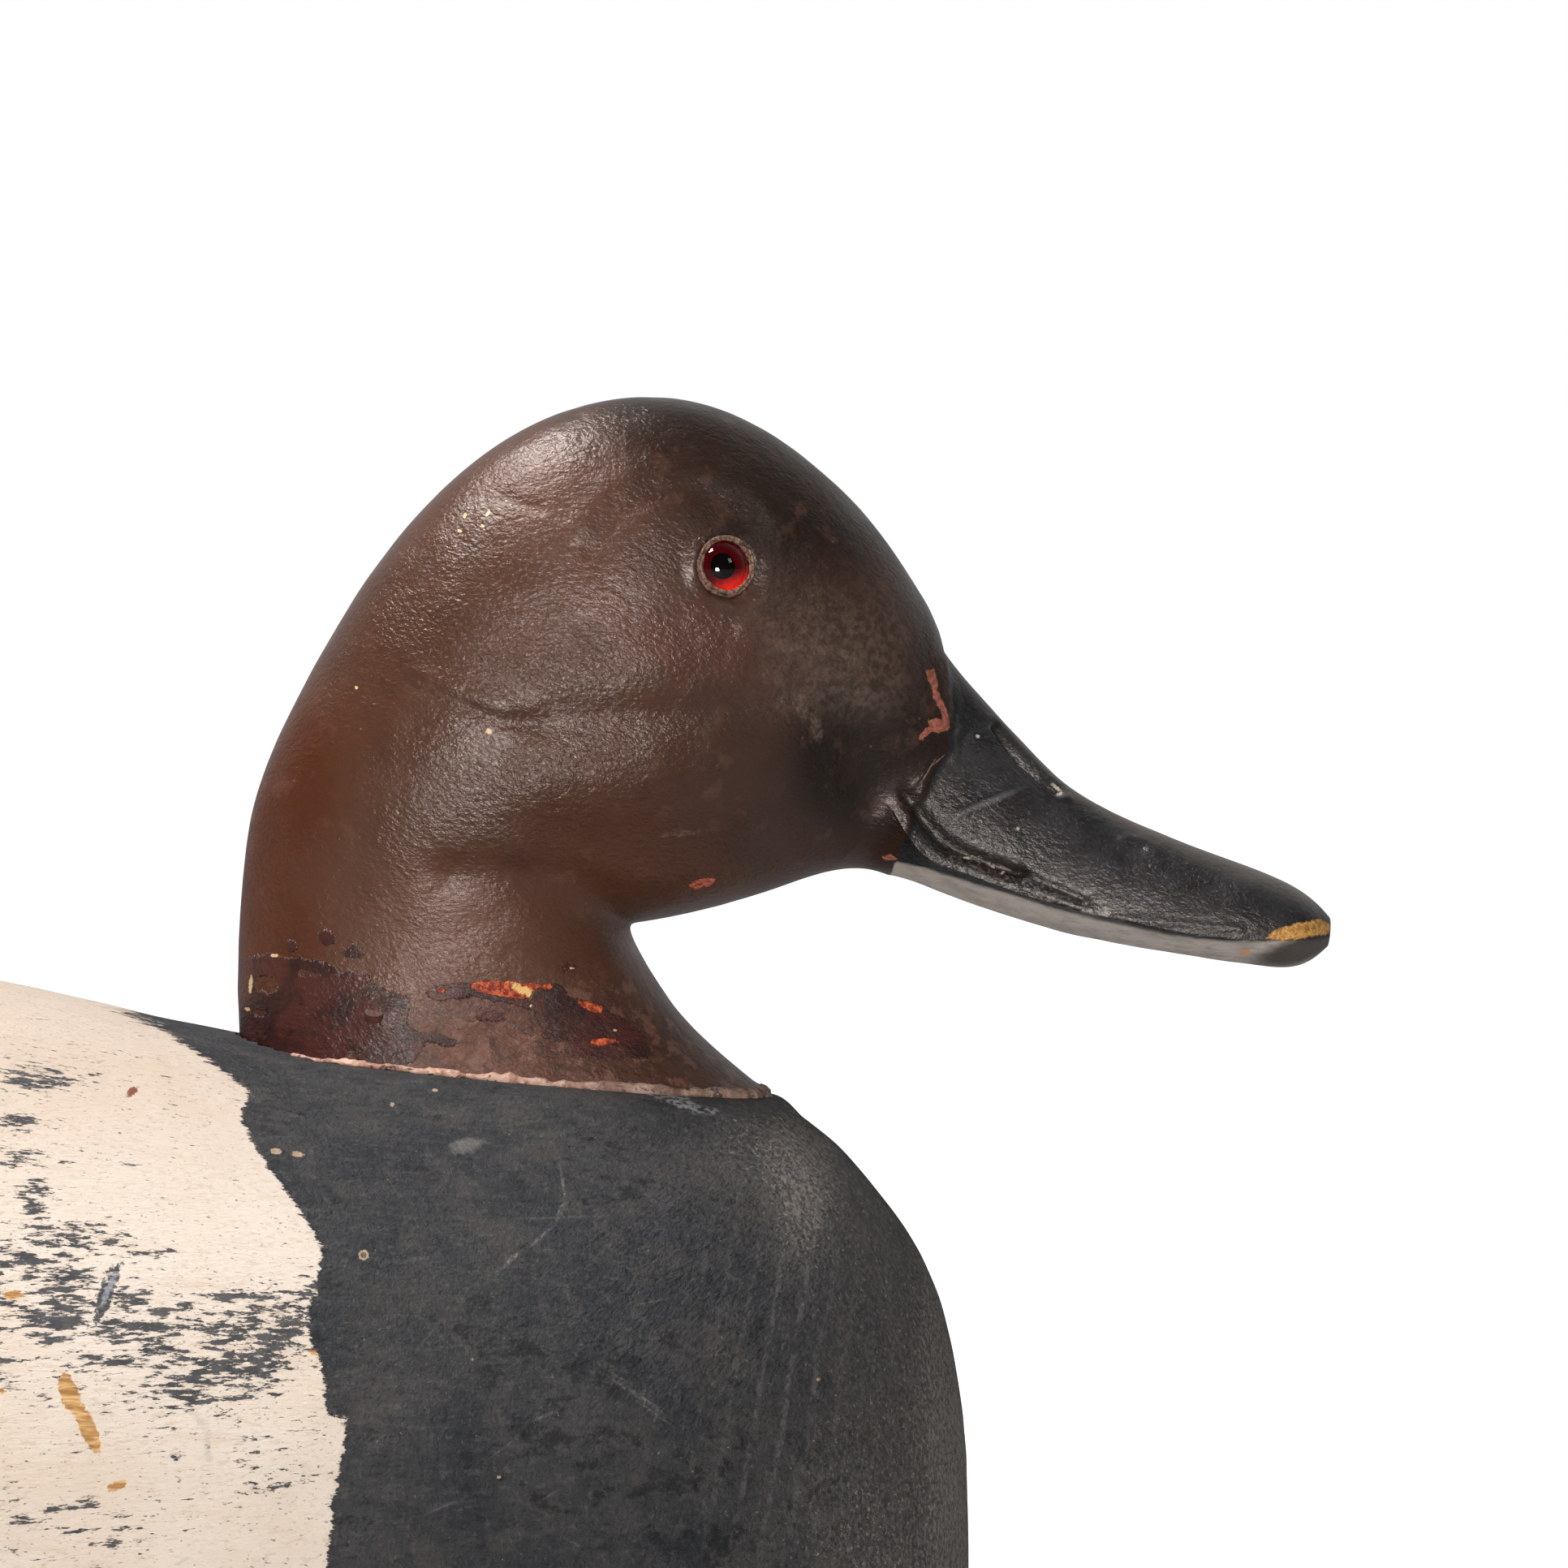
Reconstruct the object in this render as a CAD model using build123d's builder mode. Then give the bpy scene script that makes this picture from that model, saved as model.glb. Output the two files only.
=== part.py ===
"""Hollow wooden canvasback decoy: a hollowed body on a bottom board, a carved head with glass eyes, a ballasted
keel and a ring-and-staple line tie.

Millimetres. +X points to the bill, +Y to the decoy's left, +Z up. The origin is on the surface that the keel stands
on, midway between the tail and the tip of the bill.
"""

import os
from math import atan2, cos, degrees, hypot, radians, sin

from build123d import *

# ---------------------------------------------------------------- driving dimensions
hull_bottom = 20.0  # height of the flat underside, which is also the keel's height
board_top = 38.0  # height of the joint between the bottom board and the hollowed body
caulk_thickness = 0.6
clearance = 0.05  # all round every fastener in its hole

seat_back_x, seat_back_z = 51.9, 146.4  # the neck seat slopes down towards the breast
seat_front_x, seat_front_z = 133.7, 138.5
seat_half_width = 25.0

eye_x, eye_y, eye_z = 125.4, 21.9, 220.6
eye_yaw, eye_pitch = 18.0, 9.0  # degrees that each eye looks forward and up
eye_radius = 4.0
eye_hole_radius = 4.7
eye_hole_depth = 7.0
eye_wire_radius = 0.4

keel_back_x, keel_front_x, keel_width = -115.0, 85.0, 28.0
ballast_centre_x, ballast_length, ballast_width, ballast_height = -15.0, 90.0, 15.0, 12.0
ballast_recess = 0.5  # the lead stays this far above the keel's sole

staple_wire_radius = 1.25
staple_low_z, staple_high_z = 50.0, 58.0
ring_radius, ring_wire_radius = 9.5, 1.25
ring_gap = 0.3  # between the ring and the staple's lower leg
ring_x = 167.0

# Stations of the hull before its underside is planed flat: place along X, half width, top, bottom, and height
# of the widest point.
hull_stations = [
    (-220.0, 20.0, 103.0, 95.0, 99.0),
    (-208.0, 27.0, 105.0, 90.0, 98.0),
    (-192.0, 37.0, 109.0, 71.0, 94.0),
    (-172.0, 51.0, 119.0, 42.0, 87.0),
    (-145.0, 66.0, 133.5, 23.0, 80.0),
    (-105.0, 80.0, 149.0, 18.5, 74.0),
    (-55.0, 89.0, 158.5, 18.5, 70.0),
    (0.0, 91.0, 158.5, 18.5, 68.0),
    (50.0, 87.0, 149.0, 18.5, 66.0),
    (90.0, 77.0, 143.5, 18.5, 65.0),
    (118.0, 66.0, 141.0, 20.5, 65.0),
    (138.0, 52.5, 135.6, 26.0, 65.0),
    (152.0, 37.0, 121.7, 35.0, 65.5),
    (160.5, 20.5, 105.0, 47.0, 66.0),
    (163.8, 9.0, 84.0, 57.5, 66.5),
    (164.5, 3.0, 72.0, 62.0, 67.0),
]
# Stations of the hollow: place along X, half width and top. Its sides are about 20 mm inside the hull's.
hollow_stations = [
    (-150.0, 38.0, 106.0),
    (-105.0, 58.0, 129.0),
    (-55.0, 67.0, 139.0),
    (0.0, 69.0, 139.0),
    (50.0, 65.0, 130.0),
    (90.0, 55.0, 124.0),
    (118.0, 43.0, 120.0),
    (133.0, 28.0, 110.0),
]
hollow_bottom = 30.0
hollow_widest = 66.0

# Sections of the head, from the neck's foot round to the tip of the bill: inner edge, outer edge, half width.
head_sections = [
    ((seat_front_x, seat_front_z), (seat_back_x, seat_back_z), seat_half_width),
    ((124.7, 146.0), (51.7, 155.0), 23.0),
    ((118.0, 153.5), (52.0, 166.0), 21.7),
    ((113.7, 160.5), (53.3, 179.0), 21.7),
    ((112.0, 164.8), (57.2, 192.0), 23.2),
    ((113.5, 166.0), (66.6, 210.0), 25.0),
    ((117.0, 166.6), (80.2, 229.0), 26.0),
    ((121.2, 167.4), (99.0, 242.6), 26.0),
    ((126.2, 168.4), (118.5, 246.0), 25.0),
    ((132.5, 170.0), (135.0, 239.7), 22.7),
    ((140.0, 172.2), (147.0, 229.3), 19.2),
    ((147.5, 173.4), (155.8, 217.3), 15.5),
    ((154.0, 171.6), (161.0, 206.4), 12.6),
    ((161.0, 169.0), (169.0, 196.3), 11.4),
    ((172.5, 165.2), (179.0, 186.6), 11.0),
    ((185.0, 162.2), (189.0, 181.0), 11.4),
    ((198.0, 159.8), (201.0, 176.0), 12.2),
    ((209.0, 158.2), (211.0, 172.0), 12.0),
    ((215.5, 158.4), (216.7, 168.7), 9.0),
    ((219.5, 161.0), (219.9, 165.6), 4.0),
]

nail_stations = [4, 5, 6, 7, 8, 9, 10]  # hull stations that have a board nail on each side
board_nail_inset = 17.0
board_nail_radius, board_nail_head_radius = 1.3, 2.6
board_nail_low_z, board_nail_high_z = 31.0, 62.0

# ---------------------------------------------------------------- shared planes and outlines
seat_angle = degrees(atan2(seat_back_z - seat_front_z, seat_front_x - seat_back_x))
seat_length = hypot(seat_front_x - seat_back_x, seat_back_z - seat_front_z)
seat_plane = Plane(
    origin=((seat_back_x + seat_front_x) / 2, 0, (seat_back_z + seat_front_z) / 2),
    x_dir=(cos(radians(seat_angle)), 0, -sin(radians(seat_angle))),
    z_dir=(sin(radians(seat_angle)), 0, cos(radians(seat_angle))),
)


def station_plane(x):
    """The upright plane across the decoy at x, with its own x along Y and its own y along Z."""
    return Plane(origin=(x, 0, 0), x_dir=(0, 1, 0), z_dir=(1, 0, 0))


def superellipse_quarter(half_width, height, power, steps):
    """Points from (half_width, 0) to (0, height), both ends included."""
    points = []
    for step in range(steps + 1):
        angle = radians(90 * step / steps)
        points.append((half_width * cos(angle) ** (2 / power), height * sin(angle) ** (2 / power)))
    return points


def hull_outline(half_width, top, bottom, widest):
    """Points of a hull section from the right chine over the deck to the left chine."""
    deck_power, bilge_power, bilge_reach = 2.2, 2.6, 1.2
    deck = superellipse_quarter(half_width, top - widest, deck_power, 4)
    bilge = []
    for share in (1.0, 0.72, 0.38):
        drop = share / bilge_reach
        bilge.append((half_width * (1 - drop**bilge_power) ** (1 / bilge_power), share * (widest - bottom)))
    left = [(y, widest - drop) for y, drop in bilge] + [(y, widest + rise) for y, rise in deck]
    right = [(-y, z) for y, z in reversed(left[:-1])]
    return left + right


def eye_plane(side):
    """The plane that an eye sits on, with its z looking out of the head. side is 1 on the left, -1 on the right."""
    yaw, pitch = radians(eye_yaw), radians(eye_pitch)
    outward = (sin(yaw) * cos(pitch), side * cos(yaw) * cos(pitch), sin(pitch))
    return Plane(origin=(eye_x, side * eye_y, eye_z), x_dir=(cos(yaw), -side * sin(yaw), 0), z_dir=outward)


os.makedirs("parts", exist_ok=True)


def write(part, name):
    """Labels a finished piece and writes its STEP file."""
    part.label = name
    export_step(part, f"parts/{name}.step")


# ---------------------------------------------------------------- hull, hollow and neck seat
with BuildPart() as hull:
    for x, half_width, top, bottom, widest in hull_stations:
        outline = hull_outline(half_width, top, bottom, widest)
        with BuildSketch(station_plane(x)):
            with BuildLine():
                Spline(*outline)
                Line(outline[-1], outline[0])
            make_face()
    loft()
    split(bisect_by=Plane.XY.offset(hull_bottom), keep=Keep.TOP)

with BuildPart() as hollow:
    for x, half_width, top in hollow_stations:
        outline = hull_outline(half_width, top, hollow_bottom, hollow_widest)
        with BuildSketch(station_plane(x)):
            with BuildLine():
                Spline(*outline)
                Line(outline[-1], outline[0])
            make_face()
    loft()
    split(bisect_by=Plane.XY.offset(board_top - caulk_thickness - 5), keep=Keep.TOP)

seat_depth = 12.0  # how far the plinth under the neck runs down into the hull
seat_margin = 1.0  # the seat is cut this much larger than the foot of the neck
with BuildPart() as neck_plinth:
    with BuildSketch(seat_plane):
        Ellipse(seat_length / 2, seat_half_width)
    extrude(amount=-seat_depth)

with BuildPart() as above_seat:
    with BuildSketch(seat_plane):
        Ellipse(seat_length / 2 + seat_margin, seat_half_width + seat_margin)
    extrude(amount=30)

# ---------------------------------------------------------------- fasteners and their holes
neck_screw_x = 90.0
spot_face_z = 126.0
washer_thickness, washer_radius = 1.5, 8.0
screw_head_height, screw_head_radius = 3.0, 4.8
screw_radius, screw_tip_z = 2.5, 178.0

with BuildPart() as neck_washer:
    with BuildSketch(Plane.XY.offset(spot_face_z - washer_thickness)):
        with Locations((neck_screw_x, 0)):
            Circle(washer_radius)
            Circle(screw_radius + 4 * clearance, mode=Mode.SUBTRACT)
    extrude(amount=washer_thickness)

with BuildPart() as neck_screw:
    head_bottom_z = spot_face_z - washer_thickness - screw_head_height
    with BuildSketch(Plane.XY.offset(head_bottom_z)):
        with Locations((neck_screw_x, 0)):
            Circle(screw_head_radius)
    extrude(amount=screw_head_height)
    fillet(neck_screw.faces().sort_by(Axis.Z)[0].edges(), radius=1.8)
    with BuildSketch(Plane.XY.offset(head_bottom_z)):
        with Locations((neck_screw_x, 0)):
            Circle(screw_radius)
    extrude(amount=screw_tip_z - head_bottom_z)
    chamfer(neck_screw.faces().sort_by(Axis.Z)[-1].edges(), length=6, length2=2)
    with BuildSketch(Plane.XY.offset(head_bottom_z)):
        with Locations((neck_screw_x, 0)):
            Rectangle(2 * screw_head_radius, 1.2)
    extrude(amount=1.4, mode=Mode.SUBTRACT)

with BuildPart() as neck_screw_bore:
    with BuildSketch(Plane.XY.offset(board_top)):
        with Locations((neck_screw_x, 0)):
            Circle(washer_radius + 1)
    extrude(amount=spot_face_z - board_top)
    with BuildSketch(Plane.XY.offset(board_top)):
        with Locations((neck_screw_x, 0)):
            Circle(screw_radius + clearance)
    extrude(amount=screw_tip_z + 1 - board_top)

# Two finishing nails driven down and inwards through the foot of the neck into the body.
toenail_x, toenail_y, toenail_z = 72.0, 20.5, 153.0
toenail_lean = 26.0
toenail_length, toenail_radius, toenail_head_radius = 24.0, 0.9, 1.5


def toenail_plane(side):
    """The plane of a toenail's head, with its z pointing back out along the nail."""
    lean = radians(toenail_lean)
    outward = (0, side * sin(lean), cos(lean))
    return Plane(origin=(toenail_x, side * toenail_y, toenail_z), x_dir=(1, 0, 0), z_dir=outward)


with BuildPart() as neck_nails:
    for side in (1, -1):
        with BuildSketch(toenail_plane(side)):
            Circle(toenail_radius)
        extrude(amount=-toenail_length)
        with BuildSketch(toenail_plane(side)):
            Circle(toenail_head_radius)
        extrude(amount=-1.2)

with BuildPart() as neck_nail_bores:
    for side in (1, -1):
        with BuildSketch(toenail_plane(side)):
            Circle(toenail_radius + clearance)
        extrude(amount=-toenail_length - 0.5)
        with BuildSketch(toenail_plane(side).offset(-1.25)):
            Circle(toenail_head_radius + clearance)
        extrude(amount=9)

board_nail_places = [
    (hull_stations[index][0], side * (hull_stations[index][1] - board_nail_inset))
    for index in nail_stations
    for side in (1, -1)
]
with BuildPart() as board_nails:
    with BuildSketch(Plane.XY.offset(board_nail_low_z)):
        with Locations(*board_nail_places):
            Circle(board_nail_radius)
    extrude(amount=board_nail_high_z - board_nail_low_z)
    with BuildSketch(Plane.XY.offset(board_nail_low_z)):
        with Locations(*board_nail_places):
            Circle(board_nail_head_radius)
    extrude(amount=1.2)

with BuildPart() as board_nail_bores:
    with BuildSketch(Plane.XY.offset(board_nail_low_z)):
        with Locations(*board_nail_places):
            Circle(board_nail_radius + clearance)
    extrude(amount=board_nail_high_z + 0.5 - board_nail_low_z)
    with BuildSketch(Plane.XY):
        with Locations(*board_nail_places):
            Circle(board_nail_head_radius + clearance)
    extrude(amount=board_nail_low_z + 1.25)

keel_screw_places = [(-100.0, 0), (-76.0, 0), (46.0, 0), (70.0, 0)]
keel_screw_radius, keel_screw_head_radius, keel_screw_top_z = 2.2, 4.4, 35.0
keel_screw_low_z = 1.0
with BuildPart() as keel_screws:
    with BuildSketch(Plane.XY.offset(keel_screw_low_z)):
        with Locations(*keel_screw_places):
            Circle(keel_screw_head_radius)
    extrude(amount=2.6, taper=40)
    with BuildSketch(Plane.XY.offset(keel_screw_low_z)):
        with Locations(*keel_screw_places):
            Circle(keel_screw_radius)
    extrude(amount=keel_screw_top_z - keel_screw_low_z)
    with BuildSketch(Plane.XY.offset(keel_screw_low_z)):
        with Locations(*keel_screw_places):
            Rectangle(2 * keel_screw_head_radius, 1.0)
    extrude(amount=1.1, mode=Mode.SUBTRACT)

with BuildPart() as keel_screw_bores:
    with BuildSketch(Plane.XY):
        with Locations(*keel_screw_places):
            Circle(keel_screw_head_radius + clearance)
    extrude(amount=keel_screw_low_z + 2.7)
    with BuildSketch(Plane.XY):
        with Locations(*keel_screw_places):
            Circle(keel_screw_radius + clearance)
    extrude(amount=keel_screw_top_z + 0.5)

# ---------------------------------------------------------------- line tie: a staple in the breast and its ring
staple_crown_radius = (staple_high_z - staple_low_z) / 2
staple_tip_x, staple_crown_x = 146.0, 169.5
staple_middle_z = (staple_low_z + staple_high_z) / 2
with BuildPart() as line_tie_staple:
    with BuildLine() as staple_path:
        Line((staple_tip_x, 0, staple_low_z), (staple_crown_x, 0, staple_low_z))
        ThreePointArc(
            (staple_crown_x, 0, staple_low_z),
            (staple_crown_x + staple_crown_radius, 0, staple_middle_z),
            (staple_crown_x, 0, staple_high_z),
        )
        Line((staple_crown_x, 0, staple_high_z), (staple_tip_x, 0, staple_high_z))
    with BuildSketch(station_plane(staple_tip_x)):
        with Locations((0, staple_low_z)):
            Circle(staple_wire_radius)
    sweep(path=staple_path.wires()[0])

with BuildPart() as staple_bores:
    with BuildSketch(station_plane(staple_tip_x - 0.5)):
        with Locations((0, staple_low_z), (0, staple_high_z)):
            Circle(staple_wire_radius + clearance)
    extrude(amount=staple_crown_x - staple_tip_x)

ring_pivot_z = staple_low_z + staple_wire_radius + ring_gap + ring_wire_radius
with BuildPart() as line_tie_ring:
    with BuildSketch(Plane.XZ):
        with Locations((ring_x, ring_pivot_z)):
            Circle(ring_wire_radius)
    revolve(axis=Axis((ring_x, 0, ring_pivot_z - ring_radius), (1, 0, 0)))

# ---------------------------------------------------------------- body, caulk, bottom board and keel
with BuildPart() as body_shell:
    add(hull.part)
    split(bisect_by=Plane.XY.offset(board_top), keep=Keep.TOP)
    add(neck_plinth.part)
    add(above_seat.part, mode=Mode.SUBTRACT)
    add(hollow.part, mode=Mode.SUBTRACT)
    add(neck_screw_bore.part, mode=Mode.SUBTRACT)
    add(neck_nail_bores.part, mode=Mode.SUBTRACT)
    add(board_nail_bores.part, mode=Mode.SUBTRACT)
    add(staple_bores.part, mode=Mode.SUBTRACT)

with BuildPart() as seam_caulk:
    add(hull.part)
    split(bisect_by=Plane.XY.offset(board_top), keep=Keep.BOTTOM)
    split(bisect_by=Plane.XY.offset(board_top - caulk_thickness), keep=Keep.TOP)
    add(hollow.part, mode=Mode.SUBTRACT)
    add(board_nail_bores.part, mode=Mode.SUBTRACT)

with BuildPart() as bottom_board:
    add(hull.part)
    split(bisect_by=Plane.XY.offset(board_top - caulk_thickness), keep=Keep.BOTTOM)
    add(board_nail_bores.part, mode=Mode.SUBTRACT)
    add(keel_screw_bores.part, mode=Mode.SUBTRACT)

keel_centre_x = (keel_back_x + keel_front_x) / 2
with BuildPart() as keel:
    with BuildSketch(Plane.XY):
        with Locations((keel_centre_x, 0)):
            SlotOverall(keel_front_x - keel_back_x, keel_width)
    extrude(amount=hull_bottom)
    chamfer(keel.faces().sort_by(Axis.Z)[0].edges(), length=2)
    with BuildSketch(Plane.XY):
        with Locations((ballast_centre_x, 0)):
            Rectangle(ballast_length + 2 * clearance, ballast_width + 2 * clearance)
    extrude(amount=ballast_height, mode=Mode.SUBTRACT)
    add(keel_screw_bores.part, mode=Mode.SUBTRACT)

ballast_nail_places = [(ballast_centre_x - 32, 0), (ballast_centre_x, 0), (ballast_centre_x + 32, 0)]
ballast_nail_radius, ballast_nail_head_radius, ballast_nail_top_z = 1.1, 2.4, 18.5
with BuildPart() as ballast_nails:
    with BuildSketch(Plane.XY.offset(ballast_recess)):
        with Locations(*ballast_nail_places):
            Circle(ballast_nail_head_radius)
    extrude(amount=1.0)
    with BuildSketch(Plane.XY.offset(ballast_recess)):
        with Locations(*ballast_nail_places):
            Circle(ballast_nail_radius)
    extrude(amount=ballast_nail_top_z - ballast_recess)

with BuildPart() as ballast_nail_bores:
    with BuildSketch(Plane.XY):
        with Locations(*ballast_nail_places):
            Circle(ballast_nail_head_radius + clearance)
    extrude(amount=ballast_recess + 1.0 + clearance)
    with BuildSketch(Plane.XY):
        with Locations(*ballast_nail_places):
            Circle(ballast_nail_radius + clearance)
    extrude(amount=ballast_nail_top_z + clearance)

with BuildPart() as ballast_weight:
    with BuildSketch(Plane.XY.offset(ballast_recess)):
        with Locations((ballast_centre_x, 0)):
            Rectangle(ballast_length, ballast_width)
    extrude(amount=ballast_height - ballast_recess - clearance)
    fillet(ballast_weight.edges().filter_by(Axis.Z), radius=1.0)
    add(ballast_nail_bores.part, mode=Mode.SUBTRACT)

with BuildPart() as nailed_keel:
    add(keel.part)
    add(ballast_nail_bores.part, mode=Mode.SUBTRACT)

# ---------------------------------------------------------------- head
with BuildPart() as carved_head:
    for inner, outer, half_width in head_sections:
        reach = hypot(outer[0] - inner[0], outer[1] - inner[1])
        along = ((outer[0] - inner[0]) / reach, 0, (outer[1] - inner[1]) / reach)
        middle = ((inner[0] + outer[0]) / 2, 0, (inner[1] + outer[1]) / 2)
        across = Vector(along).cross(Vector(0, 1, 0))
        with BuildSketch(Plane(origin=middle, x_dir=along, z_dir=across)):
            Ellipse(reach / 2, half_width)
    loft()

with BuildPart() as eye_holes:
    for side in (1, -1):
        with BuildSketch(eye_plane(side).offset(-eye_hole_depth)):
            Circle(eye_hole_radius)
        extrude(amount=eye_hole_depth + 8)
        with BuildSketch(eye_plane(side).offset(-eye_hole_depth - 6.5)):
            Circle(eye_wire_radius + clearance)
        extrude(amount=6.6)

with BuildPart() as head:
    add(carved_head.part)
    add(eye_holes.part, mode=Mode.SUBTRACT)
    add(neck_screw_bore.part, mode=Mode.SUBTRACT)
    add(neck_nail_bores.part, mode=Mode.SUBTRACT)

# A bead of putty round the foot of the neck, over the joint between the head and the body.
putty_rise, putty_drop, putty_spread = 2.2, 5.0, 2.6
with BuildPart() as neck_putty:
    with BuildSketch(seat_plane.offset(-putty_drop)):
        Ellipse(seat_length / 2 + putty_spread, seat_half_width + putty_spread)
    with BuildSketch(seat_plane.offset(putty_rise)):
        Ellipse(seat_length / 2 + 0.6, seat_half_width + 0.6)
    loft()
    with BuildSketch(seat_plane.offset(-putty_drop - 1)):
        Ellipse(seat_length / 2 + clearance, seat_half_width + clearance)
    extrude(amount=putty_drop + putty_rise + 2, mode=Mode.SUBTRACT)
    add(carved_head.part, mode=Mode.SUBTRACT)
    add(body_shell.part, mode=Mode.SUBTRACT)
    add(neck_nail_bores.part, mode=Mode.SUBTRACT)

# ---------------------------------------------------------------- glass eyes, set in putty
lens_back, lens_rim, lens_apex = -1.7, -0.9, 1.5  # along the eye's axis, 0 at the face of the head
dome_radius = (eye_radius**2 + (lens_apex - lens_rim) ** 2) / (2 * (lens_apex - lens_rim))
dome_half_angle = degrees(atan2(eye_radius, dome_radius - (lens_apex - lens_rim)))
iris_thickness, iris_radius = 0.3, 3.75
pupil_radius, pupil_depth = 1.45, 0.5
for side, hand in ((1, "left"), (-1, "right")):
    face = eye_plane(side)
    with BuildPart() as eye_glass:
        with BuildSketch(Plane.XZ):
            with BuildLine():
                Polyline((0, lens_apex), (0, lens_back), (eye_radius, lens_back), (eye_radius, lens_rim))
                CenterArc((0, lens_apex - dome_radius), dome_radius, 90 - dome_half_angle, dome_half_angle)
            make_face()
        revolve(axis=Axis.Z)
        with BuildSketch(Plane.XY.offset(lens_back)):
            Circle(pupil_radius)
        extrude(amount=pupil_depth, mode=Mode.SUBTRACT)
    with BuildPart() as eye_pupil:
        with BuildSketch(Plane.XY.offset(lens_back)):
            Circle(pupil_radius)
        extrude(amount=pupil_depth)
    with BuildPart() as eye_iris:
        with BuildSketch(Plane.XY.offset(lens_back - iris_thickness)):
            Circle(iris_radius)
        extrude(amount=iris_thickness)
    with BuildPart() as eye_wire:
        with BuildSketch(Plane.XY.offset(lens_back - iris_thickness)):
            Circle(eye_wire_radius)
        extrude(amount=-(eye_hole_depth + 6.0 + lens_back - iris_thickness))
    with BuildPart() as eye_putty:
        with BuildSketch(Plane.XY.offset(-eye_hole_depth)):
            Circle(eye_hole_radius)
        extrude(amount=eye_hole_depth - 0.2)
        with BuildSketch(Plane.XY.offset(lens_back)):
            Circle(eye_radius)
        extrude(amount=4, mode=Mode.SUBTRACT)
        with BuildSketch(Plane.XY.offset(lens_back - iris_thickness)):
            Circle(iris_radius)
        extrude(amount=iris_thickness, mode=Mode.SUBTRACT)
        with BuildSketch(Plane.XY.offset(-eye_hole_depth)):
            Circle(eye_wire_radius)
        extrude(amount=eye_hole_depth, mode=Mode.SUBTRACT)
    for piece, name in (
        (eye_glass, "eye_glass"),
        (eye_pupil, "eye_pupil"),
        (eye_iris, "eye_iris"),
        (eye_wire, "eye_wire"),
        (eye_putty, "eye_putty"),
    ):
        write(face.location * piece.part, f"{name}_{hand}")

# ---------------------------------------------------------------- files
write(body_shell.part, "body_shell")
write(seam_caulk.part, "seam_caulk")
write(bottom_board.part, "bottom_board")
write(board_nails.part, "board_nails")
write(nailed_keel.part, "keel")
write(keel_screws.part, "keel_screws")
write(ballast_weight.part, "ballast_weight")
write(ballast_nails.part, "ballast_nails")
write(head.part, "head")
write(neck_screw.part, "neck_screw")
write(neck_washer.part, "neck_washer")
write(neck_nails.part, "neck_nails")
write(neck_putty.part, "neck_putty")
write(line_tie_staple.part, "line_tie_staple")
write(line_tie_ring.part, "line_tie_ring")
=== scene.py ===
"""The looks of a hollow carved and painted wooden drake decoy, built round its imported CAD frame.

Shapes are worked out in millimetres in the frame's axes, +X to the bill, +Y to the decoy's left, +Z up, and
are scaled to metres as each mesh is made.
"""

import math

import bmesh
import bpy
import numpy as np
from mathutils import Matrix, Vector


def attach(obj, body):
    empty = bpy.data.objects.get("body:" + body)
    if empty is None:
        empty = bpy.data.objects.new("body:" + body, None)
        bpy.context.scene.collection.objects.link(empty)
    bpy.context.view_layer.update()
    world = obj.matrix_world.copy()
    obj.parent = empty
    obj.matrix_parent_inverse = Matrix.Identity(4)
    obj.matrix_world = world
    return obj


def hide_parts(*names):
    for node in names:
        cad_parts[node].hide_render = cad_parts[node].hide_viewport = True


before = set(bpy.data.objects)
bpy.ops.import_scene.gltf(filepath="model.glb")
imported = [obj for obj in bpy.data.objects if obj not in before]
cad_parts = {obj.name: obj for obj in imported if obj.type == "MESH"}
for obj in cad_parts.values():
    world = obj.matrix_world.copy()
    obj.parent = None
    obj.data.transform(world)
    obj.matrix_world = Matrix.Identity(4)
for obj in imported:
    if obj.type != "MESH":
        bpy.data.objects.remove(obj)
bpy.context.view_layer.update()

MM = 0.001
ROOT_BODY = "decoy"


# ---------------------------------------------------------------- numbers and fields
def spline(table, t):
    """Natural cubic spline through the rows of table, read at places t counted in rows."""
    table = np.asarray(table, float)
    count = len(table)
    system, right = np.eye(count), np.zeros_like(table)
    for row in range(1, count - 1):
        system[row, row - 1 : row + 2] = (1, 4, 1)
        right[row] = 6 * (table[row + 1] - 2 * table[row] + table[row - 1])
    bend = np.linalg.solve(system, right)
    low = np.clip(np.floor(t).astype(int), 0, count - 2)
    u = (t - low)[:, None]
    v = 1 - u
    return v * table[low] + u * table[low + 1] + ((v**3 - v) * bend[low] + (u**3 - u) * bend[low + 1]) / 6


def smooth(value, low, high):
    """0 at low, 1 at high, and a smooth step between. Low may be above high."""
    u = np.clip((value - low) / (high - low), 0, 1)
    return u * u * (3 - 2 * u)


def mound(value, middle, reach):
    """1 where value is at middle, falling away smoothly over reach on both sides."""
    return np.exp(-(((value - middle) / reach) ** 2))


def hill(x, z, place, spread=(1.0, 1.0)):
    """1 at a place in the side view, given as its middle, half length and half height, times spread."""
    middle_x, middle_z, length, height = place
    return np.exp(-(((x - middle_x) / length / spread[0]) ** 2) - (((z - middle_z) / height / spread[1]) ** 2))


def around_once(count):
    """Angles that go once round in equal steps."""
    return np.linspace(0, 2 * math.pi, count + 1)[:-1]


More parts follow.
